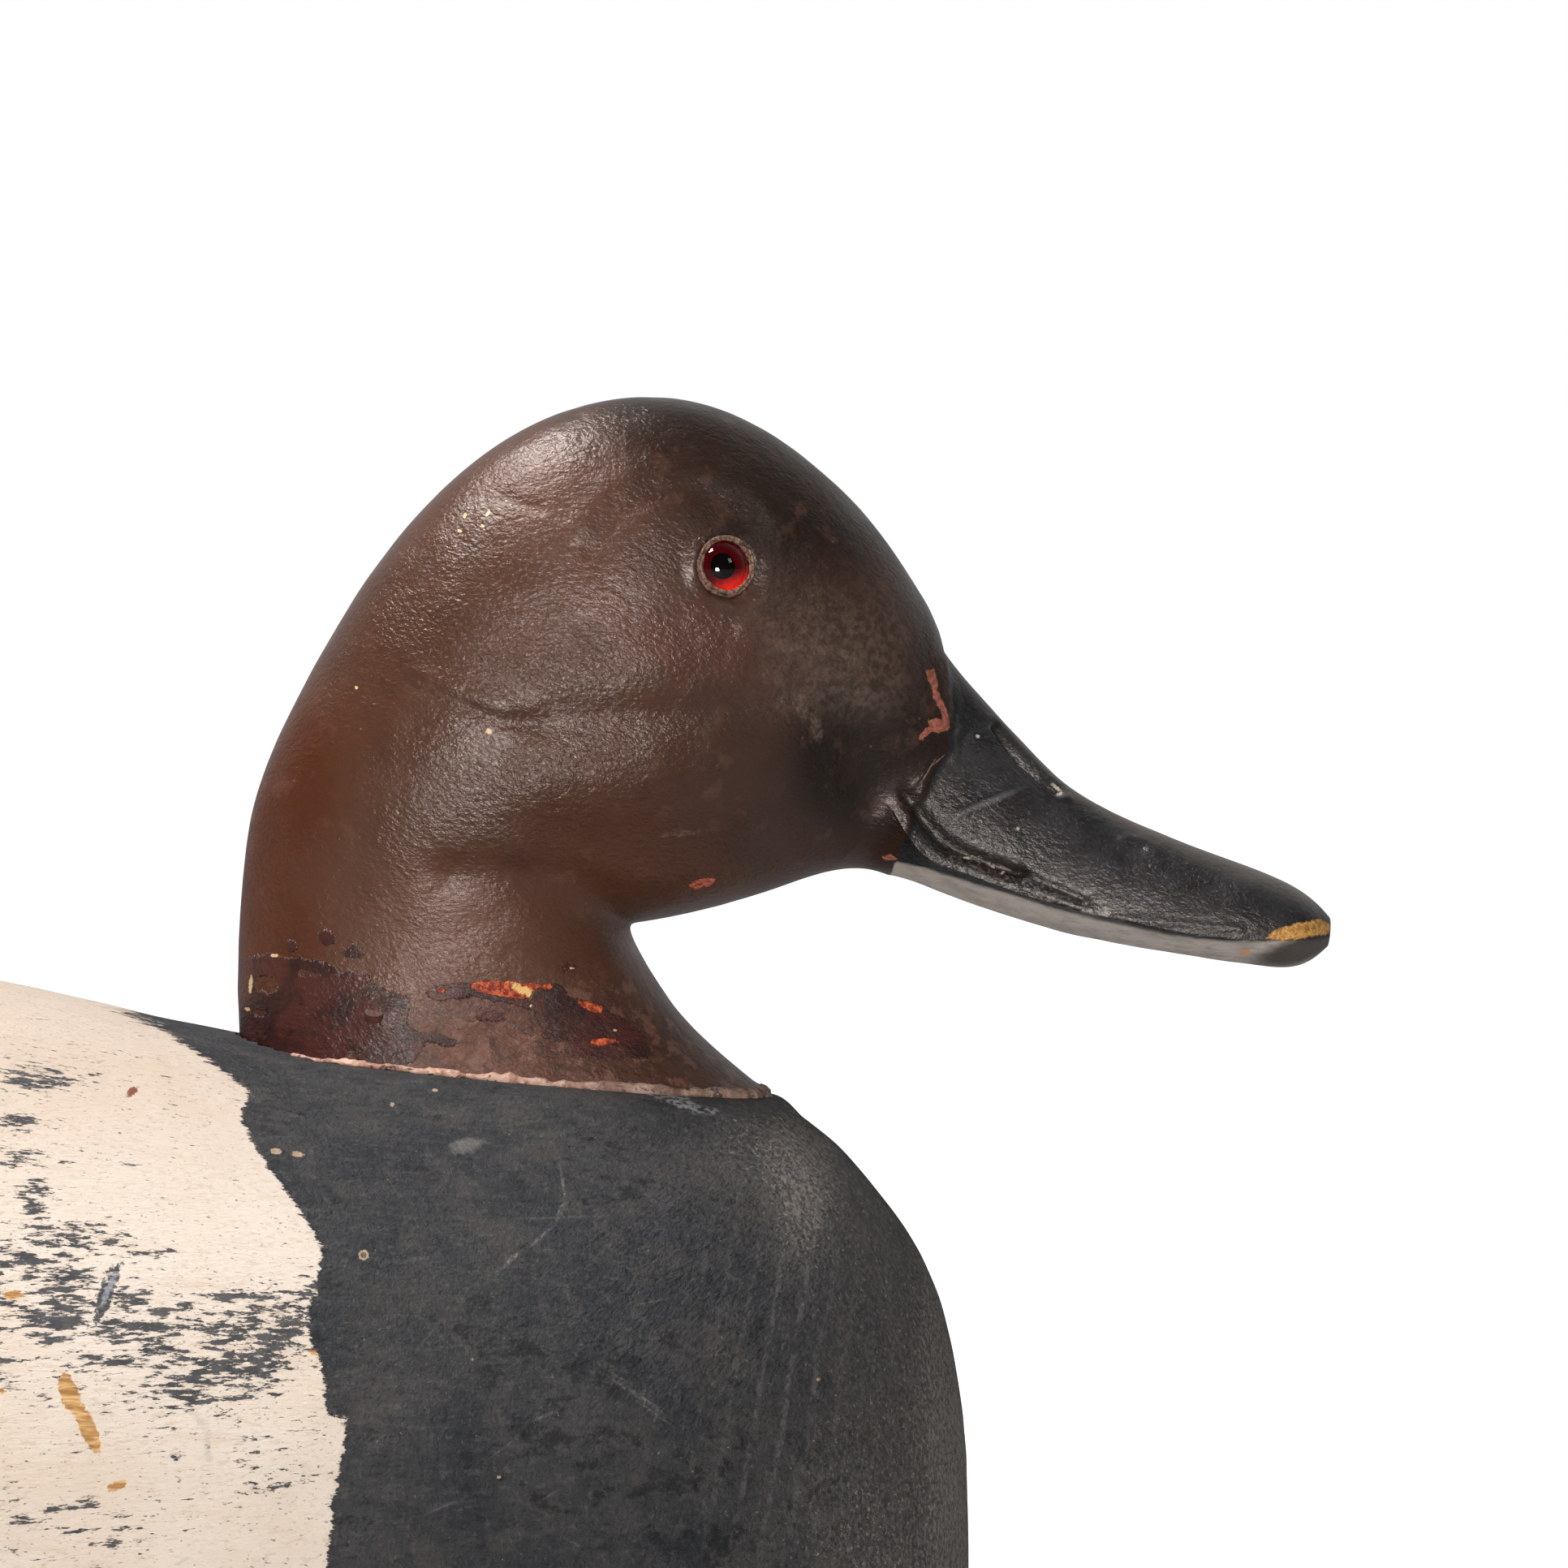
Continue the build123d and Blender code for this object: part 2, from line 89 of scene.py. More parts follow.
def lattice(cell, seed):
    """A repeatable number from -1 to 1 for each whole-numbered cell."""
    ix, iy, iz = ((cell[..., k] & 0xFFFFFFFF).astype(np.uint64) for k in range(3))
    h = (ix * 0x8DA6B343 + iy * 0xD8163841 + iz * 0xCB1AB31F + seed * 0x9E3779B1) & 0xFFFFFFFF
    h = ((h ^ (h >> np.uint64(15))) * 0x2C1B3C6D) & 0xFFFFFFFF
    h = ((h ^ (h >> np.uint64(12))) * 0x297A2D39) & 0xFFFFFFFF
    return (h ^ (h >> np.uint64(15))) / 2147483648.0 - 1


def noise(points, size, seed, octaves=1):
    """Smooth noise of about -1 to 1 whose lumps are size across. size is one number or one for each axis."""
    total, weight, reach = 0.0, 1.0, 0.0
    scaled = points / np.asarray(size, float)
    for octave in range(octaves):
        base = np.floor(scaled).astype(np.int64)
        part = scaled - base
        ease = part**3 * (part * (part * 6 - 15) + 10)
        value = 0.0
        for corner in np.ndindex(2, 2, 2):
            share = np.prod(np.where(corner, ease, 1 - ease), axis=-1)
            value = value + share * lattice(base + np.array(corner), seed + 17 * octave)
        total, reach = total + weight * value, reach + weight
        scaled, weight = scaled * 2.03 + 7.1, weight * 0.5
    return total / reach


def line_distance(x, z, points):
    """Distance in the side view from each (x, z) to an open line through points."""
    best = np.full(np.shape(x), 1e9)
    for (ax, az), (bx, bz) in zip(points[:-1], points[1:]):
        dx, dz = bx - ax, bz - az
        along = np.clip(((x - ax) * dx + (z - az) * dz) / (dx * dx + dz * dz + 1e-12), 0, 1)
        best = np.minimum(best, np.hypot(x - ax - along * dx, z - az - along * dz))
    return best


def side_of(x, z, points):
    """Signed distance in the side view to a line that runs on past its ends.

    It is positive ahead of a line that runs down.
    """
    points = np.asarray(points, float)
    first = points[0] + (points[0] - points[1]) * 30
    last = points[-1] + (points[-1] - points[-2]) * 30
    points = np.vstack([first, points, last])
    best, sign = np.full(np.shape(x), 1e9), np.ones(np.shape(x))
    for (ax, az), (bx, bz) in zip(points[:-1], points[1:]):
        dx, dz = bx - ax, bz - az
        along = np.clip(((x - ax) * dx + (z - az) * dz) / (dx * dx + dz * dz), 0, 1)
        distance = np.hypot(x - ax - along * dx, z - az - along * dz)
        turn = np.sign(dx * (z - az) - dz * (x - ax))
        nearer = distance < best - 1e-9
        best, sign = np.where(nearer, distance, best), np.where(nearer, turn, sign)
    return best * sign


def region(x, z, outline):
    """Signed distance in the side view to a closed outline, negative inside it."""
    closed = [*outline, outline[0]]
    inside = np.zeros(np.shape(x), bool)
    for (ax, az), (bx, bz) in zip(closed[:-1], closed[1:]):
        crosses = (az > z) != (bz > z)
        inside ^= crosses & (x < ax + (bx - ax) * (z - az) / (bz - az + 1e-12))
    return line_distance(x, z, closed) * np.where(inside, -1, 1)


# ---------------------------------------------------------------- meshes
def finish_mesh(name, mesh, body, nodes, material, sharp=40):
    """Makes the object for a finished mesh, shades it smooth, and has it stand for its CAD nodes."""
    mesh.polygons.foreach_set("use_smooth", [True] * len(mesh.polygons))
    mesh.set_sharp_from_angle(angle=math.radians(sharp))
    obj = bpy.data.objects.new(name, mesh)
    bpy.context.scene.collection.objects.link(obj)
    mesh.materials.append(material)
    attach(obj, body)
    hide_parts(*nodes)


def set_field(mesh, name, values):
    mesh.attributes.new(name, "FLOAT", "POINT").data.foreach_set("value", np.asarray(values, np.float32))


def tube_faces(rows, around):
    """Quads of a tube of rings, each ring closed on itself."""
    row, step = np.meshgrid(np.arange(rows - 1), np.arange(around), indexing="ij")
    after = (step + 1) % around
    low, high = row * around, (row + 1) * around
    return np.stack([low + step, low + after, high + after, high + step], axis=-1).reshape(-1, 4).tolist()


def tube_mesh(name, rings, start=None, end=None):
    """A mesh of rings (row, point, axis) in millimetres, closed at each end by a fan to a point."""
    rows, around = rings.shape[:2]
    points = rings.reshape(-1, 3)
    faces = tube_faces(rows, around)
    start = rings[0].mean(0) if start is None else np.asarray(start, float)
    end = rings[-1].mean(0) if end is None else np.asarray(end, float)
    first, last = len(points), len(points) + 1
    faces += [(first, (step + 1) % around, step) for step in range(around)]
    low = (rows - 1) * around
    faces += [(last, low + step, low + (step + 1) % around) for step in range(around)]
    points = np.vstack([points, start, end])
    mesh = bpy.data.meshes.new(name)
    mesh.from_pydata((points * MM).tolist(), [], faces)
    mesh.validate()
    return mesh


def ring_normals(rings):
    """Unit normals of a tube of rings, pointing out of it."""
    along = np.gradient(rings, axis=0)
    across = np.roll(rings, -1, axis=1) - np.roll(rings, 1, axis=1)
    normal = np.cross(across, along)
    normal /= np.linalg.norm(normal, axis=-1, keepdims=True) + 1e-9
    centre = rings.mean(axis=1, keepdims=True)
    return normal * np.sign(np.sum(normal * (rings - centre), axis=(1, 2), keepdims=True) + 1e-12)


def with_mirror(side):
    """Whole rings, from half rings on the left that start and end in the middle plane."""
    other = side[:, -2:0:-1].copy()
    other[..., 1] *= -1
    return np.concatenate([side, other], axis=1)


def outward(mesh):
    """Turns every face of a closed mesh to point out."""
    turning = bmesh.new()
    turning.from_mesh(mesh)
    bmesh.ops.recalc_face_normals(turning, faces=turning.faces[:])
    turning.to_mesh(mesh)
    turning.free()
    return mesh


def loop_mesh(name, rings):
    """A mesh of cross-sections joined one to the next and the last to the first."""
    rows, around = rings.shape[:2]
    row, step = np.meshgrid(np.arange(rows), np.arange(around), indexing="ij")
    ahead, after = (row + 1) % rows, (step + 1) % around
    corners = [row * around + step, ahead * around + step, ahead * around + after, row * around + after]
    mesh = bpy.data.meshes.new(name)
    quads = np.stack(corners, axis=-1).reshape(-1, 4)
    mesh.from_pydata((rings.reshape(-1, 3) * MM).tolist(), [], quads.tolist())
    mesh.validate()
    return outward(mesh)


def axes_across(out):
    """Two directions square to out and to each other, the first of them level."""
    across = np.cross((0, 0, 1), out)
    across /= np.linalg.norm(across)
    return across, np.cross(out, across)


def even_rows(path_lengths, rows, density=None):
    """Places along a table for rows that are about equally far apart, and closer where density is higher."""
    steps = np.diff(path_lengths)
    if density is not None:
        steps = steps * (density[1:] + density[:-1]) / 2
    total = np.concatenate([[0], np.cumsum(steps)])
    return np.interp(np.linspace(0, total[-1], rows), total, np.arange(len(total)))


# ---------------------------------------------------------------- materials
class Paint:
    """A node material, with short calls for the nodes that the decoy's finishes use."""

    def __init__(self, name):
        self.material = bpy.data.materials.new(name)
        self.material.use_nodes = True
        self.tree = self.material.node_tree
        self.tree.nodes.clear()
        self.output = self.tree.nodes.new("ShaderNodeOutputMaterial")
        self.place = self.tree.nodes.new("ShaderNodeTexCoord").outputs["Object"]

    def node(self, kind, inputs, out=0, **settings):
        node = self.tree.nodes.new("ShaderNode" + kind)
        for key, value in settings.items():
            setattr(node, key, value)
        for key, value in inputs.items():
            socket = node.inputs[key]
            if isinstance(value, bpy.types.NodeSocket):
                self.tree.links.new(value, socket)
            elif socket.type == "RGBA" and len(value) == 3:
                socket.default_value = (*value, 1)
            else:
                socket.default_value = value
        return node.outputs[out]

    def field(self, name):
        return self.node("Attribute", {}, out=2, attribute_name=name)

    def math(self, operation, a, b=0.0):
        return self.node("Math", {0: a, 1: b}, operation=operation)

    def add(self, a, b):
        return self.math("ADD", a, b)

    def times(self, a, b):
        return self.math("MULTIPLY", a, b)

    def step(self, value, low, high, out_low=0.0, out_high=1.0):
        """A smooth step of value from low to high. Low may be above high."""
        flip = low > high
        if flip:
            low, high, out_low, out_high = high, low, out_high, out_low
        return self.node(
            "MapRange",
            {"Value": value, "From Min": low, "From Max": high, "To Min": out_low, "To Max": out_high},
            interpolation_type="SMOOTHSTEP",
        )

    def mix(self, share, a, b):
        """Colour a where share is 0 and b where it is 1."""
        return self.node("Mix", {0: share, 6: a, 7: b}, out=2, data_type="RGBA")

    def stretch(self, scale, rotation=(0, 0, 0)):
        """Object coordinates turned and then scaled, for grain and strokes."""
        turned = self.node("Mapping", {0: self.place, 2: rotation}) if any(rotation) else self.place
        return self.node("Mapping", {0: turned, 3: scale})

    def noise(self, size, detail=3.0, rough=0.55, where=None, distortion=0.0):
        """Noise from about 0 to 1 with lumps size millimetres across."""
        inputs = {"Vector": where or self.place, "Scale": 1000.0 / size, "Detail": detail, "Roughness": rough}
        return self.node("TexNoise", {**inputs, "Distortion": distortion})

    def cells(self, size, where=None, feature="F1"):
        """Distance in cells size millimetres across, from their middles or as feature says."""
        return self.node("TexVoronoi", {"Vector": where or self.place, "Scale": 1000.0 / size}, feature=feature)

    def spot(self, place, size, tilt=0.0, depth=14.0):
        """Distance in millimetres outside an ellipse in the side view, negative inside it.

        Size is half its length and half its width, tilt is in degrees up from +X, and depth is how far it
        reaches into the piece and out of it.
        """
        turned = (0, -math.radians(tilt), 0)
        scale = (size[0] * MM, depth * MM, size[1] * MM)
        location = tuple(value * MM for value in place)
        where = self.node("Mapping", {0: self.place, 1: location, 2: turned, 3: scale}, vector_type="TEXTURE")
        far = self.node("VectorMath", {0: where}, out=1, operation="LENGTH")
        return self.node("Math", {0: far, 1: size[1], 2: -size[1]}, operation="MULTIPLY_ADD")

    def nearest(self, spots, depth=14.0):
        """The least of the distances of several spots, each given as place, size and perhaps tilt."""
        distance = self.spot(*spots[0], depth=depth)
        for spot in spots[1:]:
            distance = self.math("MINIMUM", distance, self.spot(*spot, depth=depth))
        return distance

    def ragged(self, distance, amount, size, rough=0.65, where=None):
        """A distance with its zero line pushed in and out by up to amount millimetres."""
        torn = self.math("SUBTRACT", self.noise(size, 5, rough, where=where), 0.5)
        return self.node("Math", {0: torn, 1: 2.6 * amount, 2: distance}, operation="MULTIPLY_ADD")

    def inside(self, distance, soft=0.12):
        """1 where a distance is negative."""
        return self.step(distance, soft, -soft)

    def both(self, a, b):
        return self.math("MAXIMUM", a, b)

    def bump(self, height, depth, normal=None, metres=False):
        """Bump of height 0 to 1 over depth millimetres, or over a depth in metres worked out by nodes."""
        inputs = {"Strength": 1.0, "Distance": depth if metres else depth * MM, "Height": height}
        if normal is not None:
            inputs["Normal"] = normal
        return self.node("Bump", inputs)

    def surface(self, **inputs):
        """The principled shader on the output."""
        names = {key.replace("_", " "): value for key, value in inputs.items()}
        shader = self.node("BsdfPrincipled", names)
        self.tree.links.new(shader, self.output.inputs["Surface"])
        return self.material


# ---------------------------------------------------------------- hull of the body
HULL = [
    (-220.0, 20.0, 103.0, 95.0, 99.0),
    (-208.0, 27.0, 105.0, 90.0, 98.0),
    (-192.0, 37.0, 109.0, 71.0, 94.0),
    (-172.0, 51.0, 119.0, 42.0, 87.0),
    (-145.0, 66.0, 133.5, 23.0, 80.0),
    (-105.0, 80.0, 149.0, 18.5, 74.0),
    (-55.0, 89.0, 158.5, 18.5, 70.0),
    (0.0, 91.0, 158.5, 18.5, 68.0),
    (50.0, 87.0, 149.0, 18.5, 66.0),
    (90.0, 77.0, 143.5, 18.5, 65.0),
    (118.0, 66.0, 141.0, 20.5, 65.0),
    (138.0, 52.5, 135.2, 26.0, 65.0),
    (152.0, 37.0, 121.2, 35.0, 65.5),
    (160.5, 20.5, 105.0, 47.0, 66.0),
    (163.8, 9.0, 84.0, 57.5, 66.5),
    (164.5, 3.0, 72.0, 62.0, 67.0),
]
HULL_BOTTOM = 20.0
FINE_STEPS, HEAD_FINE_STEPS = 1999, 2999  # steps in which the lengths of hull and head are measured
SEAM_LOW, SEAM_HIGH = 37.4, 38.0
SEAT_BACK, SEAT_FRONT, SEAT_HALF_WIDTH = (51.9, 146.4), (133.7, 138.5), 25.0
seat_middle = ((SEAT_BACK[0] + SEAT_FRONT[0]) / 2, (SEAT_BACK[1] + SEAT_FRONT[1]) / 2)
seat_reach = math.hypot(SEAT_FRONT[0] - SEAT_BACK[0], SEAT_BACK[1] - SEAT_FRONT[1]) / 2
seat_slope = (SEAT_BACK[1] - SEAT_FRONT[1]) / (SEAT_FRONT[0] - SEAT_BACK[0])


def seat_height(x):
    """Height of the neck's seat plane at x."""
    return SEAT_BACK[1] - seat_slope * (x - SEAT_BACK[0])


def seat_edge(x, y):
    """Distance outside the foot of the neck, seen from above. Negative under the neck."""
    u, v = (x - seat_middle[0]) / seat_reach, y / SEAT_HALF_WIDTH
    radius = np.hypot(u, v)
    slope = np.hypot(u / seat_reach, v / SEAT_HALF_WIDTH) / (radius + 1e-9)
    return (radius - 1) / (slope + 1e-9)


def hull_rings(rows, around):
    """Rings of the whole hull, with no carving marks."""
    stations = np.array(HULL)
    fine = np.linspace(0, len(HULL) - 1, FINE_STEPS + 1)
    table = spline(stations, fine)
    reach = np.concatenate([[0], np.cumsum(np.hypot(np.diff(table[:, 0]), np.diff(table[:, 1])))])
    density = 1.0 + 0.9 * smooth(table[:, 0], -40, 10)
    place = even_rows(reach, rows, density) * (len(HULL) - 1) / FINE_STEPS
    x, width, top, bottom, widest = spline(stations, place).T
    quarter = around // 2
    share = np.linspace(0, 1, quarter + 1)
    deck_part, bilge_part, deck_square, bilge_square = 0.52, 0.34, 2.2, 2.6
    angle = np.clip(share / deck_part, 0, 1) * math.pi / 2
    deck_y, deck_z = np.sin(angle) ** (2 / deck_square), np.cos(angle) ** (2 / deck_square)
    fall = np.clip((share - deck_part) / bilge_part, 0, 1)
    bilge_y = (1 - (fall / 1.2) ** bilge_square) ** (1 / bilge_square)
    floor = 1 - np.clip((share - deck_part - bilge_part) / (1 - deck_part - bilge_part), 0, 1)
    upper = share <= deck_part
    y = np.where(upper, deck_y, bilge_y * floor)
    z = np.where(
        upper,
        widest[:, None] + (top - widest)[:, None] * deck_z,
        widest[:, None] - fall * (widest - bottom)[:, None],
    )
    y = y * width[:, None]
    half = np.stack([np.repeat(x[:, None], quarter + 1, 1), y, z], axis=-1)
    return with_mirror(half)


CHATTER_PITCH = 4.7  # between the marks that the rasp left round the breast


def carve_hull(rings):
    """Adds the seat of the neck and the marks of hand work to the hull's rings."""
    x, y, z = rings[..., 0], rings[..., 1], rings[..., 2]
    normal = ring_normals(rings)
    points = rings.copy()
    lift = 0.55 * noise(points, (46, 30, 30), 3, 2) + 0.16 * noise(points, (14, 7, 7), 5, 2)
    breast = smooth(x, 60, 120) * smooth(z, 40, 70)
    curved = x + 0.055 * (z - 100) + 0.002 * (z - 100) ** 2
    chatter = np.sin(2 * math.pi * (curved + 1.5 * noise(points, 22, 9)) / CHATTER_PITCH)
    lift = lift + breast * 0.05 * chatter * (0.5 + 0.5 * noise(points, 18, 11))
    lift = lift * smooth(z, 21, 27)
    by_ring = smooth(x, 144, 152) * smooth(np.abs(y), 30, 18) * smooth(z, 84, 72)
    lift = lift * (1 - by_ring) - 0.4 * by_ring
    points = points + normal * lift[..., None]
    edge = seat_edge(points[..., 0], points[..., 1])
    across = np.abs(points[..., 1]) / SEAT_HALF_WIDTH
    near = (1 - smooth(edge, 0.5, 4 + 11 * np.clip(across, 0, 1))) * (points[..., 2] > 100)
    seat = seat_height(points[..., 0]) - 0.05
    raised = np.maximum(points[..., 2], points[..., 2] * (1 - near) + seat * near)
    points[..., 2] = np.where(edge < 0.5, np.where(points[..., 2] > 100, seat, points[..., 2]), raised)
    points[..., 2] = np.maximum(points[..., 2], HULL_BOTTOM)
    return points


def cut_level(mesh, height, keep_above):
    """Cuts a closed mesh at a height in millimetres, keeps one side and closes the cut."""
    bm = bmesh.new()
    bm.from_mesh(mesh)
    geometry = bm.verts[:] + bm.edges[:] + bm.faces[:]
    bmesh.ops.bisect_plane(
        bm,
        geom=geometry,
        dist=1e-7,
        plane_co=(0, 0, height * MM),
        plane_no=(0, 0, 1),
        clear_inner=keep_above,
        clear_outer=not keep_above,
    )
    open_edges = [edge for edge in bm.edges if edge.is_boundary]
    bmesh.ops.edgeloop_fill(bm, edges=open_edges)
    bmesh.ops.recalc_face_normals(bm, faces=bm.faces[:])
    bm.to_mesh(mesh)
    bm.free()
    return mesh


# ---------------------------------------------------------------- head
HEAD = [
    ((135.9, 136.9), (51.9, 146.4), 25.0, 0.5),
    ((124.9, 145.9), (51.7, 155.0), 23.0, 0.5),
    ((118.0, 153.5), (52.0, 166.0), 21.7, 0.5),
    ((113.7, 160.3), (53.3, 179.0), 21.7, 0.5),
    ((112.0, 164.4), (57.2, 192.0), 23.2, 0.5),
    ((113.5, 165.4), (66.6, 210.0), 25.0, 0.5),
    ((117.0, 166.0), (80.2, 229.0), 26.0, 0.5),
    ((121.2, 166.9), (99.0, 242.6), 26.0, 0.5),
    ((126.2, 168.1), (118.5, 246.0), 25.0, 0.5),
    ((132.5, 169.9), (135.0, 239.7), 22.7, 0.45),
    ((140.0, 172.2), (147.0, 229.3), 19.2, 0.32),
    ((147.5, 173.4), (155.8, 217.3), 15.5, 0.18),
    ((154.0, 171.6), (161.4, 206.9), 12.6, 0.13),
    ((161.0, 169.0), (169.5, 196.9), 11.4, 0.155),
    ((172.5, 165.2), (179.2, 186.9), 11.0, 0.185),
    ((185.0, 162.2), (189.0, 181.1), 11.4, 0.205),
    ((198.0, 159.8), (201.0, 176.0), 12.2, 0.225),
    ((209.0, 158.2), (211.2, 172.1), 12.0, 0.32),
    ((215.8, 158.4), (217.0, 168.9), 9.0, 0.42),
    ((219.9, 161.0), (220.3, 165.8), 4.0, 0.5),
]
EYE, EYE_YAW, EYE_PITCH = np.array([125.4, 21.9, 220.6]), math.radians(18), math.radians(9)
eye_out = np.array(
    [math.sin(EYE_YAW) * math.cos(EYE_PITCH), math.cos(EYE_YAW) * math.cos(EYE_PITCH), math.sin(EYE_PITCH)]
)
BILL_LINE = [
    (160.4, 206.4), (160.9, 202.0), (161.1, 198.4), (160.8, 195.3), (160.6, 192.3), (159.1, 190.1),
    (157.9, 187.9), (156.4, 184.7), (155.2, 182.5), (153.7, 179.0), (152.7, 175.3), (151.5, 170.0),
]


def head_rings(rows, around):
    """Rings of the head's plain carved shape."""
    table = np.array([(*inner, *outer, width, edge) for inner, outer, width, edge in HEAD])
    fine = spline(table, np.linspace(0, len(HEAD) - 1, HEAD_FINE_STEPS + 1))
    middle = (fine[:, 0:2] + 2 * fine[:, 2:4]) / 3
    reach = np.concatenate([[0], np.cumsum(np.hypot(*np.diff(middle, axis=0).T))])
    place = even_rows(reach, rows) * (len(HEAD) - 1) / HEAD_FINE_STEPS
    row = spline(table, place)
    inner, outer, width, edge = row[:, 0:2], row[:, 2:4], row[:, 4:5], row[:, 5:6]
    half = around // 2
    share = np.linspace(0, 1, half + 1)[None, :]
    angle = share * math.pi
    fuller = 0.16 * mound(place, 7, 3.0) + 0.13 * mound(place, 2.3, 1.5)
    bulge = 1 - fuller[:, None] * np.cos(angle)
    crown = 1 - 0.13 * mound(place[:, None], 7.2, 1.9) * (np.cos(angle) > 0)
    round_v = (1 + np.sign(np.cos(angle)) * np.abs(np.cos(angle)) ** crown) / 2
    round_y = np.sin(angle) ** crown * bulge
    top = 0.66
    turn = np.clip(share / top, 0, 1) * math.pi / 2
    fall = np.clip((share - top) / (1 - top), 0, 1)
    nail = smooth(place, 16.6, 17.6)[:, None]
    bend = 1.35 + 1.9 * nail
    bill_v = np.where(share <= top, edge + (1 - edge) * np.cos(turn) ** (2 / 2.25), edge * (1 - fall) ** bend)
    bill_y = np.where(share <= top, np.sin(turn) ** (2 / 2.25), 1 - fall)
    flat = smooth(place, 10.6, 12.6)[:, None] * (1 - 0.6 * smooth(place, 17.6, 19))[:, None]
    v = round_v * (1 - flat) + bill_v * flat
    y = (round_y * (1 - flat) + bill_y * flat) * width
    xz = inner[:, None, :] * (1 - v[..., None]) + outer[:, None, :] * v[..., None]
    return with_mirror(np.stack([xz[..., 0], y, xz[..., 1]], axis=-1))


# The groove where the bill meets the cheek, and the roll of wood under it.
GROOVE = [
    (153.8, 185.2), (155.8, 182.6), (157.3, 180.6), (159.3, 178.2),
    (162.0, 176.4), (166.6, 174.4), (171.2, 173.0),
]
ROLL = [
    (158.8, 175.4), (163.3, 174.7), (166.8, 173.3), (171.0, 171.6),
    (176.7, 169.4), (182.0, 167.4), (187.0, 166.0),
]
# Each stroke is a line in the side view, its half width, and how far it raises the wood. Negative is cut in.
STROKES = [
    (
        [(105, 223), (107.5, 226.4), (110.3, 229.3), (114, 231.2), (119, 232.2), (124, 231.0), (128.2, 228)],
        2.2, -0.5,
    ),
    ([(103, 226), (108, 231.5), (114.5, 234.8), (122, 235.3), (129, 232.5), (134, 227)], 2.6, 0.3),
    ([(110, 226), (114, 228.5), (119, 229.3)], 1.8, 0.25),
    ([(78, 202.5), (83, 200.2), (88, 198.4), (92, 197.2), (96, 197.2)], 0.9, -0.42),
    ([(79, 204), (85, 202), (91, 199.4), (96, 199.4)], 1.5, 0.38),
    (
        [
            (95, 197.2), (101, 197.5), (107, 198), (114, 198.3), (121, 198.8), (128, 199.5), (136, 200.6),
            (143, 200),
        ],
        2.8, -0.7,
    ),
    ([(98, 204), (106, 204.6), (114, 204.8)], 4.5, 0.35),
    ([(128, 211), (134, 209.2), (139, 207.4), (144, 204.8), (148, 201.6), (150.6, 197.8)], 1.4, 0.42),
    ([(130, 207), (137, 205.4), (142, 202.8), (146, 199)], 1.2, -0.22),
    ([(145.5, 191), (148.5, 187)], 7.0, -2.7),
    ([(97, 187.6), (105, 187.6), (113, 188.6)], 5.4, 1.15),
    ([(84, 174), (93, 173.8), (99, 173.4), (104, 172.3), (107.5, 169.8), (110.5, 166.5)], 3.2, -0.9),
    ([(100, 178.6), (112, 177.6), (124, 177), (134, 178)], 5.0, -0.8),
    ([(95, 166), (103, 163.5), (109, 158)], 3.0, 0.25),
    ([(154.3, 184.8), *GROOVE[1:]], 1.25, -1.15),
    ([(171.2, 173), (176, 171.2), (181, 169)], 0.7, -0.5),
    (ROLL[:-1], 1.0, 0.3),
    ([(168.8, 195.4), (170.4, 192.8), (172.4, 190.4), (175, 188.0), (178, 185.9)], 0.9, -1.7),
    (
        [(167.3, 195.0), (169.2, 192.0), (171.4, 189.4), (174, 187.0), (177.4, 184.8), (179.4, 184.8)],
        0.5, 0.28,
    ),
    ([(162, 182.3), (166.5, 184.1), (170.8, 185.6)], 0.6, 0.26),
    ([(189, 177.4), (190.4, 177.0)], 0.8, -0.4),
    ([(187.4, 178.2), (190.4, 178.2)], 0.6, 0.25),
    ([(160.4, 205.6), (161.8, 201), (162.4, 196), (161.4, 191)], 0.9, 0.3),
    ([(186, 166.4), (194, 165.6), (200, 165), (205, 164.6)], 0.5, 0.22),
    ([(92, 231), (97, 229.2)], 0.7, -0.3),
    ([(72.4, 151.8), (73.8, 151.8)], 3.0, 0.5),
]


def carve_head(rings):
    """Adds the brow, cheeks, throat, bill step, tool marks and eye sockets to the head's rings."""
    points = rings.copy()
    normal = ring_normals(points)
    x, y, z = points[..., 0], points[..., 1], points[..., 2]
    flank = smooth(np.abs(normal[..., 1]), 0.12, 0.6)
    lift = np.zeros(x.shape)
    for line, width, height in STROKES:
        lift += height * mound(line_distance(x, z, line), 0, width)
    lift *= flank
    past = side_of(x, z, BILL_LINE)
    lift -= 0.75 * smooth(past, -0.5, 0.7) * np.exp(-np.clip(past, 0, None) / 13.0) * smooth(x, 150, 158)
    lift += 0.3 * mound(past, -1.6, 1.5) * smooth(x, 150, 158)
    lift += 0.22 * noise(points, 16, 21, 2) + 0.07 * noise(points, 5, 23, 2)
    lift *= smooth(z, 139, 150) * 0.85 + 0.15
    points = points + normal * lift[..., None]
    for side in (1, -1):
        centre, out = EYE * (1, side, 1), eye_out * (1, side, 1)
        offset = points - centre
        height = offset @ out
        radius = np.linalg.norm(offset - height[..., None] * out, axis=-1)
        near = (radius < 14) & (np.sign(points[..., 1]) == side)
        hold = np.where(near, 1 - smooth(radius, 4.7, 7.0), 0)
        points = points - (height * hold)[..., None] * out
        socket = np.where(near, 1 - smooth(radius, 3.7, 4.5), 0)
        points = points - (2.6 * socket)[..., None] * out
    return points


